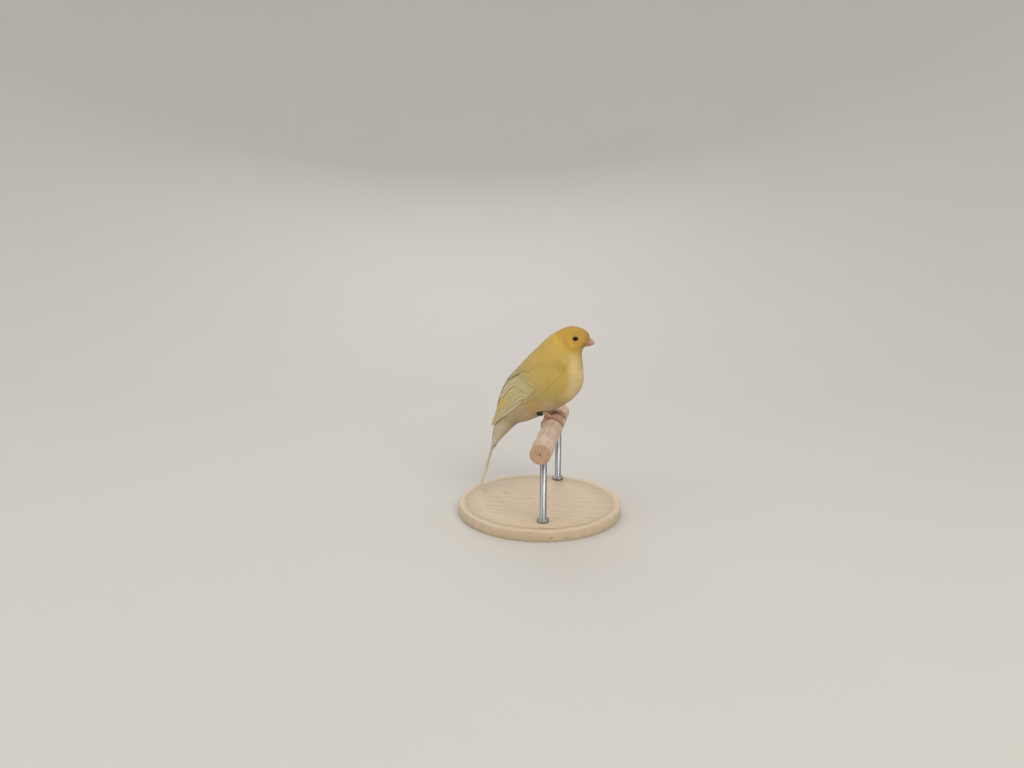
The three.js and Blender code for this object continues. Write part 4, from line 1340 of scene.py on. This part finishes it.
bill = {
    "upper": [
        # top x, top z, low x, low z, half width
        (24.4, 59.8, 21.6, 55.4, 3.5),
        (25.7, 59.1, 23.4, 55.1, 3.2),
        (27.3, 58.0, 25.8, 54.9, 2.5),
        (28.6, 56.8, 28.0, 54.9, 1.45),
        (29.6, 55.4, 29.3, 54.8, 0.35),
    ],
    "lower": [
        (21.4, 55.32, 21.0, 51.9, 3.2),
        (23.4, 55.03, 22.9, 52.5, 2.9),
        (25.8, 54.84, 25.1, 52.9, 2.3),
        (27.7, 54.80, 27.1, 53.6, 1.25),
        (28.8, 54.75, 28.5, 54.1, 0.35),
    ],
    "rings": 36,
    "around": 44,
    "bulge": 0.10,
    "nostril": (25.4, 1.75, 58.05),
    "nostrilSize": 0.42,
    "nostrilDepth": 0.35,
    "horn": (0.68, 0.52, 0.42),
    "ridge": (0.56, 0.43, 0.35), "ridgeFrom": (73.0, 75.5), "ridgeLean": 0.55, "ridgeShow": 0.6,
    "tip": (0.78, 0.66, 0.56), "tipFrom": (25.5, 30.5),
    # the nostril's dark colour is painted shade inside its opening
    "hole": (0.30, 0.19, 0.15), "holeEdge": (0.03, 0.22), "holeTall": 0.4,
}


def billMaterial():
    b = bill
    paint = Paint("billHorn")
    places = birdPlace(paint)[:3]
    x, _, z = places
    streaks = paint.noise(700.0, 3.0, stretch=(1.0, 3.0, 3.0))
    colour = paint.mix((x + streaks).rise(*b["tipFrom"]), b["horn"], b["tip"])
    height = z + x * b["ridgeLean"] + streaks * 1.6
    colour = paint.mix(height.rise(*b["ridgeFrom"]) * b["ridgeShow"], colour, b["ridge"])
    # painted shade: the nostril darkened, as its opening lies in shade
    away = [(place - middle).squared() for place, middle in zip(places, b["nostril"])]
    near = 1 - (away[0] + away[1] * b["holeTall"] + away[2]).rise(*b["holeEdge"])
    colour = paint.mix(near, colour, b["hole"])
    return paint.finish(
        Base_Color=colour, Roughness=0.36, Subsurface_Weight=0.12, Subsurface_Radius=(1.0, 0.4, 0.3),
        Subsurface_Scale=0.0008, Normal=paint.bump(streaks, 0.2, 0.0001),
    )


def billHalf(rows, flat):
    columns = [track(range(len(rows)), column) for column in zip(*rows)]
    at = np.linspace(0, len(rows) - 1, bill["rings"])
    angle = np.linspace(0, 2 * np.pi, bill["around"], endpoint=False)
    rings = []
    for place in at:
        topX, topZ, lowX, lowZ, half = (float(column(place)) for column in columns)
        top = np.array([topX, 0, topZ])
        low = np.array([lowX, 0, lowZ])
        rise = np.cos(angle)
        level = np.where(rise * flat > 0, 2 * rise - flat, bill["bulge"] * rise - flat)
        ring = (top + low) / 2 + level[:, None] * (top - low) / 2
        ring[:, 1] = np.sin(angle) * half
        rings.append(ring)
    points, faces = loft(rings)
    if flat > 0:
        for side in sides.values():
            hole = np.array(bill["nostril"]) * [1, side, 1]
            near = np.clip(1 - np.linalg.norm(points - hole, axis=1) / bill["nostrilSize"], 0, 1)
            points[:, 1] -= side * near ** 0.7 * bill["nostrilDepth"]
    return points, faces


def makeBill():
    horn = billMaterial()
    for name, flat in (("upper", 1), ("lower", -1)):
        points, faces = billHalf(bill[name], flat)
        settle(makePiece(f"bill_{name}_horn", points + grip, faces, horn), "bill_horn", f"bill_{name}")


bristles = {
    "count": 460, "aim": (26.6, 0, 56.6), "from": (0.0, 0.45),
    "lift": (-0.30, -0.12), "length": (0.55, 1.0), "width": 0.17,
}


def growBristles():  # small feathers that lean forward over the root of the bill
    b = bristles
    at = dice.uniform(*b["from"], b["count"])
    turn = dice.uniform(0, 2 * np.pi, b["count"])
    roots = bodyPoint(at, turn, dice.uniform(*b["lift"], b["count"]))
    normals = bodyPoint(at, turn, 1.0) - bodyPoint(at, turn)
    length = dice.uniform(*b["length"], b["count"]) + at
    tips = roots + unit(np.array(b["aim"]) - roots) * length[:, None]
    growFeathers(
        "billBristles", "plumage_head", tuftShapes,
        roots, tips, normals, length * b["width"], skinPlace(at, turn), 40,
    )


makeBill()
growBristles()


# eyes and their lids

eyePaint = {
    "iris": (0.16, 0.09, 0.05),
    "pupil": (0.015, 0.012, 0.012),
    "lid": (0.68, 0.56, 0.38),
    "rim": (0.30, 0.22, 0.16),
    "pupilEdge": (0.95, 1.4),
    "rimEdge": (0.05, 0.4),
}


def eyeMaterial():
    paint = Paint("eyeGloss")
    x, _, z = birdPlace(paint)[:3]
    rays = paint.noise(3000.0, 2.0)
    away = (x - eye["x"]).squared() + (z - eye["z"]).squared() + rays * 0.3
    colour = paint.mix(away.rise(*eyePaint["pupilEdge"]), eyePaint["pupil"], eyePaint["iris"])
    return paint.finish(Base_Color=colour, Roughness=0.05, IOR=1.376, Specular_IOR_Level=0.42)


def lidMaterial():
    paint = Paint("lidSkin")
    pores = paint.noise(2500.0, 3.0)
    edge = 1 - paint.layer("edge").rise(*eyePaint["rimEdge"])
    colour = paint.mix(pores * 0.3 + edge * 0.7, eyePaint["lid"], eyePaint["rim"])
    return paint.finish(Base_Color=colour, Roughness=0.5, Normal=paint.bump(pores, 0.5, 0.0001))


def lidRing(side, share, over):  # share of the way from the opening's edge out to the feathers
    angle = np.linspace(0, 2 * np.pi, eye["lidAround"], endpoint=False)
    corners = 1 + eye["almond"] * np.abs(np.cos(angle)) ** 6
    wide = between(eye["openWide"], eye["lidWide"], share) * corners
    tall = between(eye["openTall"], eye["lidTall"], share)
    x = eye["x"] + wide * np.cos(angle)
    z = eye["z"] + tall * np.sin(angle)
    flat = np.minimum(np.hypot(x - eye["x"], z - eye["z"]), eye["radius"] - eye["ballEdge"])
    ball = eye["face"] - eye["sunk"] + np.sqrt(eye["radius"] ** 2 - flat ** 2)
    face = np.array([abs(headSide(side, *spot)[1]) for spot in zip(x, z)])
    rim = np.maximum(between(ball, face, min(1.0, share * 1.3)), ball - eye["lidThin"] * share)
    if 0 < share < 0.5:
        over = over + eye["bead"] * np.cos(eye["beads"] * angle)
    return np.stack([x, side * (rim + over), z], -1)


def makeEyes():
    gloss = eyeMaterial()
    lidSkin = lidMaterial()
    around = eye["lidAround"]
    edge = np.repeat([share for share, _ in eye["lidRows"]], around)
    for name, side in sides.items():
        middle = np.array([eye["x"], side * (eye["face"] - eye["sunk"]), eye["z"]])
        points, faces = globe(middle, eye["radius"], eye["rows"], eye["around"])
        settle(makePiece(f"eyeball_{name}", points + grip, faces, gloss), "eye", f"eye_{name}")
        points = np.concatenate([lidRing(side, *row) for row in eye["lidRows"]])
        faces = [face[::-side] for face in ringFaces(len(eye["lidRows"]), around)]  # facing out
        lids = makePiece(f"lids_{name}", points + grip, faces, lidSkin, {"edge": edge})
        settle(lids, "plumage_head")


lashes = {
    "count": 200, "from": 40, "to": 268,    # degrees round the eye from its front
    "far": (0.93, 1.08), "length": (0.9, 1.4), "width": 0.28, "back": 0.9,
    "rootLift": 0.02, "tipLift": 0.42,
}


def growLashes():  # the smallest feathers, which start on the lids and lead off behind them
    b = lashes
    for name, side in sides.items():
        angle = np.radians(dice.uniform(b["from"], b["to"], b["count"]))
        far = dice.uniform(*b["far"], b["count"])
        away = np.stack([np.cos(angle) * eye["lidWide"], np.sin(angle) * eye["lidTall"]], -1)
        first = [eye["x"], eye["z"]] + away * far[:, None]
        last = first + unit(unit(away) - [b["back"], 0]) * dice.uniform(*b["length"], b["count"])[:, None]
        ends = []
        for spots, lift in ((first, b["rootLift"]), (last, b["tipLift"])):
            ends.append(np.array([headSide(side, x, z) + [0, side * lift, 0] for x, z in spots]))
        out = np.tile([0.15, side, 0.1], (b["count"], 1))
        length = np.linalg.norm(ends[1] - ends[0], axis=-1)
        homes = np.stack([0.5 + side * 0.15 + last[:, 0] * 0.002, 0.15 + last[:, 1] * 0.001], -1)
        growFeathers(
            f"lidFeathers_{name}", "plumage_head", tuftShapes,
            ends[0], ends[1], out, length * b["width"], homes, 60 + side,
        )


makeEyes()
growLashes()
print("bill and eyes made")


# legs, feet and claws

leg = {
    "apart": 9.0, "foot": (-3.2, 2.7), "heel": (-17.0, 4.6), "outward": 0.6,
    "radius": 1.2, "heelRadius": 1.7, "scutes": 9, "rings": 60,
    "swell": (0.18, 0.08), "rounded": 0.05,         # thicker, then rounded, where it meets the foot
    "bendShare": 0.16, "bend": (0.9, 0.0, -1.3),    # how the leg curves down into the foot
    "skin": (0.74, 0.57, 0.49), "dark": (0.56, 0.40, 0.33), "claw": (0.68, 0.54, 0.46),
    "clawTip": (0.46, 0.36, 0.30),
}
ball = {  # the joint that the toes spread from
    "x": -2.7, "z": 1.25, "sizes": (1.75, 1.5, 1.35), "rows": 16, "around": 24,
}
thigh = {
    "count": 300, "roots": (11.8, 14.4), "tips": (8.6, 10.8),   # along the leg from the foot
    "rootOut": (0.9, 2.2), "tipOut": (1.45, 2.0), "width": 0.5,
}
toe = {
    "radius": 1.0, "knuckle": 0.14, "tip": 0.78, "reach": 8.5, "perch": 7.5, "rings": 60,
    "rounded": (0.93, 0.12),    # from where, and over what length, its end is rounded
    "overrun": 1.15,            # how far past its tip its sideways course goes on, for the claw
}
toes = {  # from and to in degrees round the perch
    "inner": {"from": -16, "to": 45, "spread": 3.6, "joints": 2, "claw": 24},
    "middle": {"from": -14, "to": 64, "spread": -0.2, "joints": 3, "claw": 26},
    "outer": {"from": -16, "to": 50, "spread": -4.0, "joints": 3, "claw": 24},
    "hind": {"from": -26, "to": -76, "spread": 0.6, "joints": 1, "claw": -34},
}
claw = {"radius": 0.6, "tip": 0.05, "rings": 26, "around": 14, "tuck": 0.75, "overlap": 1.2}
scales = {"ridge": 0.03, "front": 0.2, "pad": 0.05, "flat": 0.06}   # plates and pads, as shares of a radius


def legEnds(side):  # foot and heel
    foot = np.array([leg["foot"][0], side * leg["apart"], leg["foot"][1]])
    heel = np.array([leg["heel"][0], side * (leg["apart"] + leg["outward"]), leg["heel"][1]])
    return foot, heel


def legMaterial():
    paint = Paint("legSkin")
    along, upper = paint.parts(paint.layer("scale", "Vector"))[1:]
    pores = paint.noise(1800.0, 3.0)
    grains = paint.node("ShaderNodeTexVoronoi", None, {"Vector": paint.place(), "Scale": 2600.0})
    plate = (along.fraction() - 0.5).size().rise(0.5, 0.36)
    plates = upper.rise(-0.1, 0.25)
    height = plate * plates + (1 - plates) * (1 - grains) * 0.6
    colour = paint.mix((1 - plate) * plates * 0.4 + pores * 0.35, leg["skin"], leg["dark"])
    return paint.finish(
        Base_Color=colour, Roughness=0.5, Subsurface_Weight=0.08, Subsurface_Radius=(1.0, 0.35, 0.25),
        Subsurface_Scale=0.0006, Normal=paint.bump(height + pores * 0.3, 0.45, 0.00012),
    )


def clawMaterial():
    paint = Paint("clawHorn")
    along = paint.parts(paint.layer("scale", "Vector"))[1]
    streaks = paint.noise(1500.0, 2.0)
    colour = paint.mix(along.rise(0.1, 0.9), leg["claw"], leg["clawTip"])
    return paint.finish(Base_Color=colour, Roughness=0.32, Normal=paint.bump(streaks, 0.15, 0.0001))


def scaledTube(centres, ups, radii, scutes, pads=0, around=20):
    # a tube with raised plates on its upper side and soft pads under it
    ahead = unit(np.gradient(centres, axis=0))
    ups = unit(ups - np.sum(ups * ahead, axis=1, keepdims=True) * ahead)
    beside = np.cross(ahead, ups)
    angle = np.linspace(0, 2 * np.pi, around, endpoint=False)
    t = np.linspace(0, 1, len(centres))
    tile = (t * scutes) % 1.0
    plate = np.minimum(tile / scales["front"], (1 - tile) / (1 - scales["front"]))
    ridge = scales["ridge"] * plate.clip(0, 1)
    soft = scales["pad"] * np.cos(2 * np.pi * pads * t) - scales["flat"] if pads else 0 * t
    up = np.clip(np.cos(angle), 0, 1) ** 0.5
    down = np.clip(-np.cos(angle), 0, 1)
    rings = []
    layer = []
    for k, centre in enumerate(centres):
        radius = (radii[k] * (1 + ridge[k] * up + soft[k] * down))[:, None]
        rings.append(centre + radius * (np.cos(angle)[:, None] * ups[k] + np.sin(angle)[:, None] * beside[k]))
        layer.append(np.stack([angle, np.full(around, t[k] * scutes), np.cos(angle)], -1))
    points, faces = loft(rings)
    return points, faces, np.concatenate([*layer, layer[0][:1], layer[-1][:1]])


def toePath(side, shape, first, last, tuck, count):  # from first to last degree round the perch
    share = np.linspace(0, 1, count)
    degrees = between(first, last, share)
    turn = np.radians(degrees)
    out = np.stack([np.sin(turn), np.zeros(count), np.cos(turn)], -1)
    centres = out * (toe["reach"] - tuck * share ** 2)[:, None]
    gone = np.clip((degrees - shape["from"]) / (shape["to"] - shape["from"]), 0, toe["overrun"])
    centres[:, 1] = side * (leg["apart"] - shape["spread"] * gone ** 0.8)
    centres[:, 2] -= toe["perch"]
    return centres, out


def makeTarsus(name, side, skin):
    foot, heel = legEnds(side)
    share = np.linspace(0, 1, leg["rings"])
    bend = np.clip(1 - share / leg["bendShare"], 0, 1) ** 2
    centres = foot + (heel - foot) * share[:, None] + bend[:, None] * np.array(leg["bend"])
    radii = between(leg["radius"], leg["heelRadius"], share ** 3)
    swell, reach = leg["swell"]
    radii = radii * (1 + swell * np.exp(-(share / reach) ** 2))
    radii = radii * np.sqrt(1 - np.clip(1 - share / leg["rounded"], 0, 0.97) ** 2)
    ups = np.tile([0.1, 0, 1.0], (len(share), 1))
    points, faces, layer = scaledTube(centres, ups, radii, leg["scutes"])
    piece = makePiece(f"tarsus_{name}", points + grip, faces, skin, {"scale": layer})
    settle(piece, "leg_skin", f"leg_{name}")


def makeToes(name, side, skin):
    t = np.linspace(0, 1, toe["rings"])
    start, length = toe["rounded"]
    past = (t - start) / length
    shapes = []
    layers = []
    for shape in toes.values():
        joints = shape["joints"]
        centres, out = toePath(side, shape, shape["from"], shape["to"], 0.0, toe["rings"])
        radii = between(toe["radius"], toe["tip"], t) + toe["knuckle"] * np.cos(2 * np.pi * joints * t)
        radii = radii * np.where(past > 0, np.sqrt(np.clip(1 - past ** 2, 0, 1)), 1)
        points, faces, layer = scaledTube(centres, out, radii, 3 * joints + 3, joints + 1)
        shapes.append((points, faces))
        layers.append(layer)
    middle = np.array([ball["x"], side * leg["apart"], ball["z"]])
    points, faces = globe(middle, np.array(ball["sizes"]), ball["rows"], ball["around"])
    shapes.append((points, faces))
    layers.append(np.stack([points[:, 0], points[:, 0], points[:, 0] * 0 - 1], -1))
    points, faces = joined(shapes)
    piece = makePiece(f"toes_{name}", points + grip, faces, skin, {"scale": np.concatenate(layers)})
    settle(piece, "leg_skin", f"foot_{name}")


def makeClaws(name, side, horn):
    radii = between(claw["radius"], claw["tip"], np.linspace(0, 1, claw["rings"]) ** 1.2)
    for place, shape in toes.items():
        first = shape["to"] - math.copysign(claw["overlap"], shape["claw"])
        centres, out = toePath(side, shape, first, first + shape["claw"], claw["tuck"], claw["rings"])
        points, faces, layer = scaledTube(centres, out, radii, 1, 0, claw["around"])
        piece = makePiece(f"talon_{place}_{name}", points + grip, faces, horn, {"scale": layer})
        settle(piece, "claw_horn", f"claw_{place}_{name}")


def makeFeet():
    skin = legMaterial()
    horn = clawMaterial()
    for name, side in sides.items():
        makeTarsus(name, side, skin)
        makeToes(name, side, skin)
        makeClaws(name, side, horn)


def growThighs():  # feathers that close round the heel
    t = thigh
    for name, side in sides.items():
        foot, heel = legEnds(side)
        ahead = unit(heel - foot)
        beside = unit(np.cross(ahead, [0, 0, 1]))
        third = np.cross(ahead, beside)
        angle = dice.uniform(0, 2 * np.pi, t["count"])
        out = np.cos(angle)[:, None] * beside + np.sin(angle)[:, None] * third
        share = dice.random(t["count"])
        ends = []
        for along, far in (("roots", "rootOut"), ("tips", "tipOut")):
            place = between(*t[along], share)[:, None]
            away = between(*t[far], share)[:, None]
            ends.append(foot + place * ahead + away * out)
        length = np.linalg.norm(ends[1] - ends[0], axis=-1)
        homes = np.stack([0.3 + 0.2 * side + angle * 0.01, 0.6 + 0.02 * share], -1)
        growFeathers(
            f"thighFeathers_{name}", "plumage_body", tuftShapes,
            ends[0], ends[1], out, length * t["width"], homes, 50 + side,
        )


makeFeet()
growThighs()

ring = {
    "from": 4.2, "length": 4.2, "inner": 1.6, "outer": 2.2, "edge": 0.12, "around": 64,
    "colour": (0.09, 0.23, 0.18), "scuffed": (0.22, 0.40, 0.31),
}


def rounded(profile, edge, steps=4):  # an outline with its corners rounded
    profile = np.asarray(profile, float)
    done = []
    for k, corner in enumerate(profile):
        before = corner + unit(profile[k - 1] - corner) * edge
        after = corner + unit(profile[(k + 1) % len(profile)] - corner) * edge
        for t in np.linspace(0, 1, steps):
            done.append((1 - t) ** 2 * before + 2 * t * (1 - t) * corner + t ** 2 * after)
    return done


def ringMaterial():
    paint = Paint("ringGreen")
    scuffs = paint.noise(1500.0, 4.0, stretch=(0.4, 1.0, 1.0))
    colour = paint.mix(scuffs.rise(0.5, 0.8) * 0.5, ring["colour"], ring["scuffed"])
    return paint.finish(
        Base_Color=colour, Roughness=0.25 + scuffs * 0.25, Metallic=0.55,
        Normal=paint.bump(scuffs, 0.1, 0.00005),
    )


def makeRing():
    r = ring
    outline = [(r["inner"], 0), (r["outer"], 0), (r["outer"], r["length"]), (r["inner"], r["length"])]
    points, faces = lathe(rounded(outline, r["edge"]), r["around"])
    foot, heel = legEnds(sides["right"])
    ahead = unit(heel - foot)
    beside = unit(np.cross(leftward, ahead))
    third = np.cross(ahead, beside)
    placed = points[:, :1] * beside + points[:, 1:2] * third + (points[:, 2:] + r["from"]) * ahead + foot
    settle(makePiece("legBand", placed + grip, faces, ringMaterial()), "ring_green", "leg_ring")


makeRing()
print("feet and ring made")


# perch

perch = {
    "radius": 7.5, "half": 60, "wave": 0.2, "turns": 2.4, "rings": 200, "around": 96,
    "bevel": 0.5, "worn": 0.35,             # how wide its end's edge is, and how much is worn off it
    "sunk": 0.07, "proud": 0.12,            # how far it lies inside its true radius, and may stand over it
    "lobes": [(3, 0.11, 0.04), (7, 0.23, 0.03)],    # number round it, turn along it, height
    "bark": (0.79, 0.69, 0.61), "pale": (0.85, 0.77, 0.70), "paleFrom": (0.35, 0.7),
    "streak": (0.66, 0.54, 0.45), "grainFrom": (0.44, 0.70), "bandsFrom": (0.55, 0.75),
    "speck": (0.42, 0.31, 0.24), "specksFrom": (0.70, 0.77), "cracksFrom": (0.66, 0.72),
    "cutIn": (0.35, 0.15),                  # how far inside its length the end's colour comes in
    "end": (0.76, 0.64, 0.53), "endDark": (0.64, 0.48, 0.37), "raysFrom": (0.4, 0.7),
    "yearRings": 5.2, "ringWander": 1.6,    # radians of their wave to a millimetre, and how far they stray
    "pith": (0.50, 0.35, 0.26), "pithOut": (0.5, 1.1), "barkOut": (6.6, 7.1),   # millimetres from the middle
    "knots": [(-38, 60, 2.3), (-50, 200, 1.8), (42, 110, 2.0)],  # along, degrees round, radius
    "knotHigh": 0.16, "knotPit": 0.12,
}


def sawnColour(paint, cloud):  # year rings on a cut end, and that end's colour
    p = perch
    x, _, z = (part / millimetre for part in paint.parts(paint.place()))
    across = x - float(grip[0])
    tall = z - float(grip[2]) + p["radius"]
    out = (across.squared() + tall.squared()).root()
    rings = ((out + cloud * p["ringWander"]) * p["yearRings"]).wave()
    rays = paint.noise(300.0, 3.0, stretch=(1.0, 0.0, 1.0)).rise(*p["raysFrom"])
    colour = paint.mix(rings * 0.3 + rays * 0.5, p["end"], p["endDark"])
    pith = 1 - out.rise(*p["pithOut"])
    return rings, paint.mix(pith * 0.8 + out.rise(*p["barkOut"]) * 0.5, colour, p["pith"])


def perchMaterial():
    p = perch
    paint = Paint("perchWood")
    grain = paint.noise(620.0, 6.0, 0.65, stretch=(1.0, 0.06, 1.0))
    cloud = paint.noise(60.0, 3.0)
    specks = paint.noise(520.0, 1.0, stretch=(1.0, 0.5, 1.0)).rise(*p["specksFrom"])
    cracks = paint.noise(900.0, 2.0, stretch=(1.0, 0.02, 1.0)).rise(*p["cracksFrom"])
    bands = paint.noise(150.0, 3.0, stretch=(0.15, 1.0, 0.15))
    fine = paint.noise(2600.0, 4.0, stretch=(1.0, 0.25, 1.0))
    knot = paint.layer("knot")
    colour = paint.mix(cloud.rise(*p["paleFrom"]), p["bark"], p["pale"])
    colour = paint.mix(grain.rise(*p["grainFrom"]) * 0.6, colour, p["streak"])
    colour = paint.mix(bands.rise(*p["bandsFrom"]) * 0.35, colour, p["streak"])
    colour = paint.mix(specks * 0.6 + cracks * 0.35, colour, p["speck"])
    colour = paint.mix(knot * 0.75, colour, p["streak"])
    y = paint.parts(paint.place())[1]
    cut = (y / millimetre).size().rise(*(p["half"] - inset for inset in p["cutIn"]))
    rings, endColour = sawnColour(paint, cloud)
    height = grain + fine * 0.5 + bands * 0.8 + knot * 0.6 - cut * rings * 0.3 - cracks * 0.8 * (1 - cut)
    return paint.finish(
        Base_Color=paint.mix(cut, colour, endColour), Roughness=0.58 + grain * 0.2,
        Specular_IOR_Level=0.35, Normal=paint.bump(height, 0.5, 0.0004),
    )


def makePerch():
    p = perch
    y = np.linspace(-p["half"], p["half"], p["rings"])
    sawn = [(p["half"], shrink) for shrink in (0.97, 0.66, 0.33)]  # rings drawn in over a flat end
    stations = [(-at, shrink) for at, shrink in sawn[::-1]] + [(at, 1) for at in y] + sawn
    angle = np.linspace(0, 2 * np.pi, p["around"], endpoint=False)
    lobes = [(*lobe, dice.uniform(0, 2 * np.pi)) for lobe in p["lobes"]]
    rings = []
    marks = []
    for at, shrink in stations:
        swell = p["radius"] + p["wave"] * math.sin(2 * math.pi * p["turns"] * at / p["half"]) - p["wave"]
        radius = swell - p["sunk"]
        for number, twist, high, start in lobes:
            radius = radius + high * np.sin(number * angle + at * twist + start)
        mark = np.zeros_like(angle)
        for place, degrees, size in p["knots"]:
            turn = np.angle(np.exp(1j * (angle - math.radians(degrees))))
            far = np.hypot((at - place) / size, turn * p["radius"] / (size * 1.5))
            mark = np.maximum(mark, np.clip(1.3 - far, 0, 1) * (0.6 + 0.4 * np.cos(far * 9)))
            radius = radius + p["knotHigh"] * np.exp(-far ** 2 * 2) - p["knotPit"] * np.exp(-(far * 2.2) ** 2)
        edge = np.clip((abs(at) - (p["half"] - p["bevel"])) / p["bevel"], 0, 1)
        radius = (np.minimum(radius, swell + p["proud"]) - p["worn"] * edge ** 2) * shrink
        rings.append(np.stack([radius * np.cos(angle), np.full_like(angle, at), radius * np.sin(angle)], -1))
        marks.append(mark)
    points, faces = loft(rings)
    knots = np.concatenate([*marks, [0, 0]])
    points = points + [grip[0], 0, grip[2] - p["radius"]]
    piece = makePiece("perchBranch", points, faces, perchMaterial(), {"knot": knots})
    settle(piece, "perch_wood", "perch")


makePerch()


# stand

stand = {
    "radius": 60.0, "height": 8.0, "edge": 1.2, "around": 160, "groove": 0.45, "grooveAt": 54.0,
    "rod": 2.4, "rodPlaces": (-42, 50), "rodAround": 48,
    "collar": 4.2, "collarTall": 2.4, "foot": 0.6, "round": 0.6, "weld": 0.2,
    "wood": (0.84, 0.77, 0.67), "grain": (0.75, 0.66, 0.54), "fleck": (0.60, 0.48, 0.36),
    "steel": (0.70, 0.71, 0.73), "brushed": (0.58, 0.59, 0.61),
}


def baseMaterial():
    paint = Paint("baseWood")
    y = paint.parts(paint.place())[1]
    drift = paint.noise(14.0, 2.0, stretch=(0.25, 1.0, 1.0))
    bands = ((y / millimetre + drift * 34) * 0.9).wave()
    fibre = paint.noise(900.0, 3.0, stretch=(0.04, 1.0, 1.0))
    flecks = paint.noise(520.0, 1.0, stretch=(0.18, 1.0, 1.0)).rise(0.66, 0.74)
    colour = paint.mix(bands * 0.22 + fibre * 0.4, stand["wood"], stand["grain"])
    colour = paint.mix(flecks * 0.5, colour, stand["fleck"])
    return paint.finish(
        Base_Color=colour, Roughness=0.42 + fibre * 0.15, Normal=paint.bump(fibre - flecks, 0.2, 0.0002),
    )


def rodMaterial():
    paint = Paint("rodSteel")
    brushed = paint.noise(2500.0, 3.0, stretch=(1.0, 1.0, 0.03))
    return paint.finish(
        Base_Color=paint.mix(brushed, stand["steel"], stand["brushed"]), Metallic=1.0,
        Roughness=0.26 + brushed * 0.16, Normal=paint.bump(brushed, 0.12, 0.0001),
    )


def makeBase():
    s = stand
    inner = s["radius"] - s["edge"]
    shoulder = s["height"] - s["edge"]
    arc = [math.radians(a) for a in range(0, 91, 15)]
    profile = [(s["radius"] - s["foot"], 0.0), (s["radius"], s["foot"])]
    profile += [(inner + s["edge"] * math.cos(a), shoulder + s["edge"] * math.sin(a)) for a in arc]
    for step in np.linspace(-1, 1, 9):  # a shallow round groove inside the rim
        sunk = s["groove"] * math.sqrt(1 - step * step)
        profile.append((s["grooveAt"] - s["groove"] * step, s["height"] - sunk))
    profile += [(radius, s["height"]) for radius in (40, 20, 5)]
    points, faces = loft(spun(profile, s["around"]))
    settle(makePiece("baseDisc", points, faces, baseMaterial()), "base_wood", "stand_base")


def makeRods():  # each with a collar at its foot, and its top inside the perch
    s = stand
    steel = rodMaterial()
    top = grip[2] - perch["radius"] * 1.4
    collar = s["height"] + s["collarTall"]
    outline = [
        (s["collar"], s["height"]), (s["collar"], collar - s["round"]), (s["collar"] - s["round"], collar),
        (s["rod"] + s["weld"], collar), (s["rod"], collar + s["weld"]), (s["rod"], top),
    ]
    points, faces = loft(spun(outline, s["rodAround"]))
    for number, y in enumerate(s["rodPlaces"], 1):
        rod = makePiece(f"rod_{number}", points + [grip[0], y, 0], faces, steel)
        settle(rod, "rod_steel", f"stand_rod_{number}")


makeBase()
makeRods()
print("perch and stand made")


# floor

def makeFloor():
    paint = Paint("studioFloor")
    mottle = paint.noise(4.0, 2.0)
    colour = paint.mix(mottle * 0.3, studio["floorColour"], studio["floorMottle"])
    material = paint.finish(Base_Color=colour, Roughness=0.85)
    reach, bend, wall = (studio[key] * 1000 for key in ("floorReach", "bend", "wall"))
    profile = [(share * (reach - bend), 0.0) for share in (0.2, 0.5, 0.8)]
    for a in np.linspace(0, np.pi / 2, 12):
        profile.append((reach - bend + bend * math.sin(a), bend - bend * math.cos(a)))
    profile.append((reach, wall))
    points = np.concatenate(spun(profile, studio["around"]))
    faces = [face[::-1] for face in ringFaces(len(profile), studio["around"])]
    faces.append(tuple(range(studio["around"])))
    makePiece("floor", points, faces, material)


makeFloor()
print("floor made")
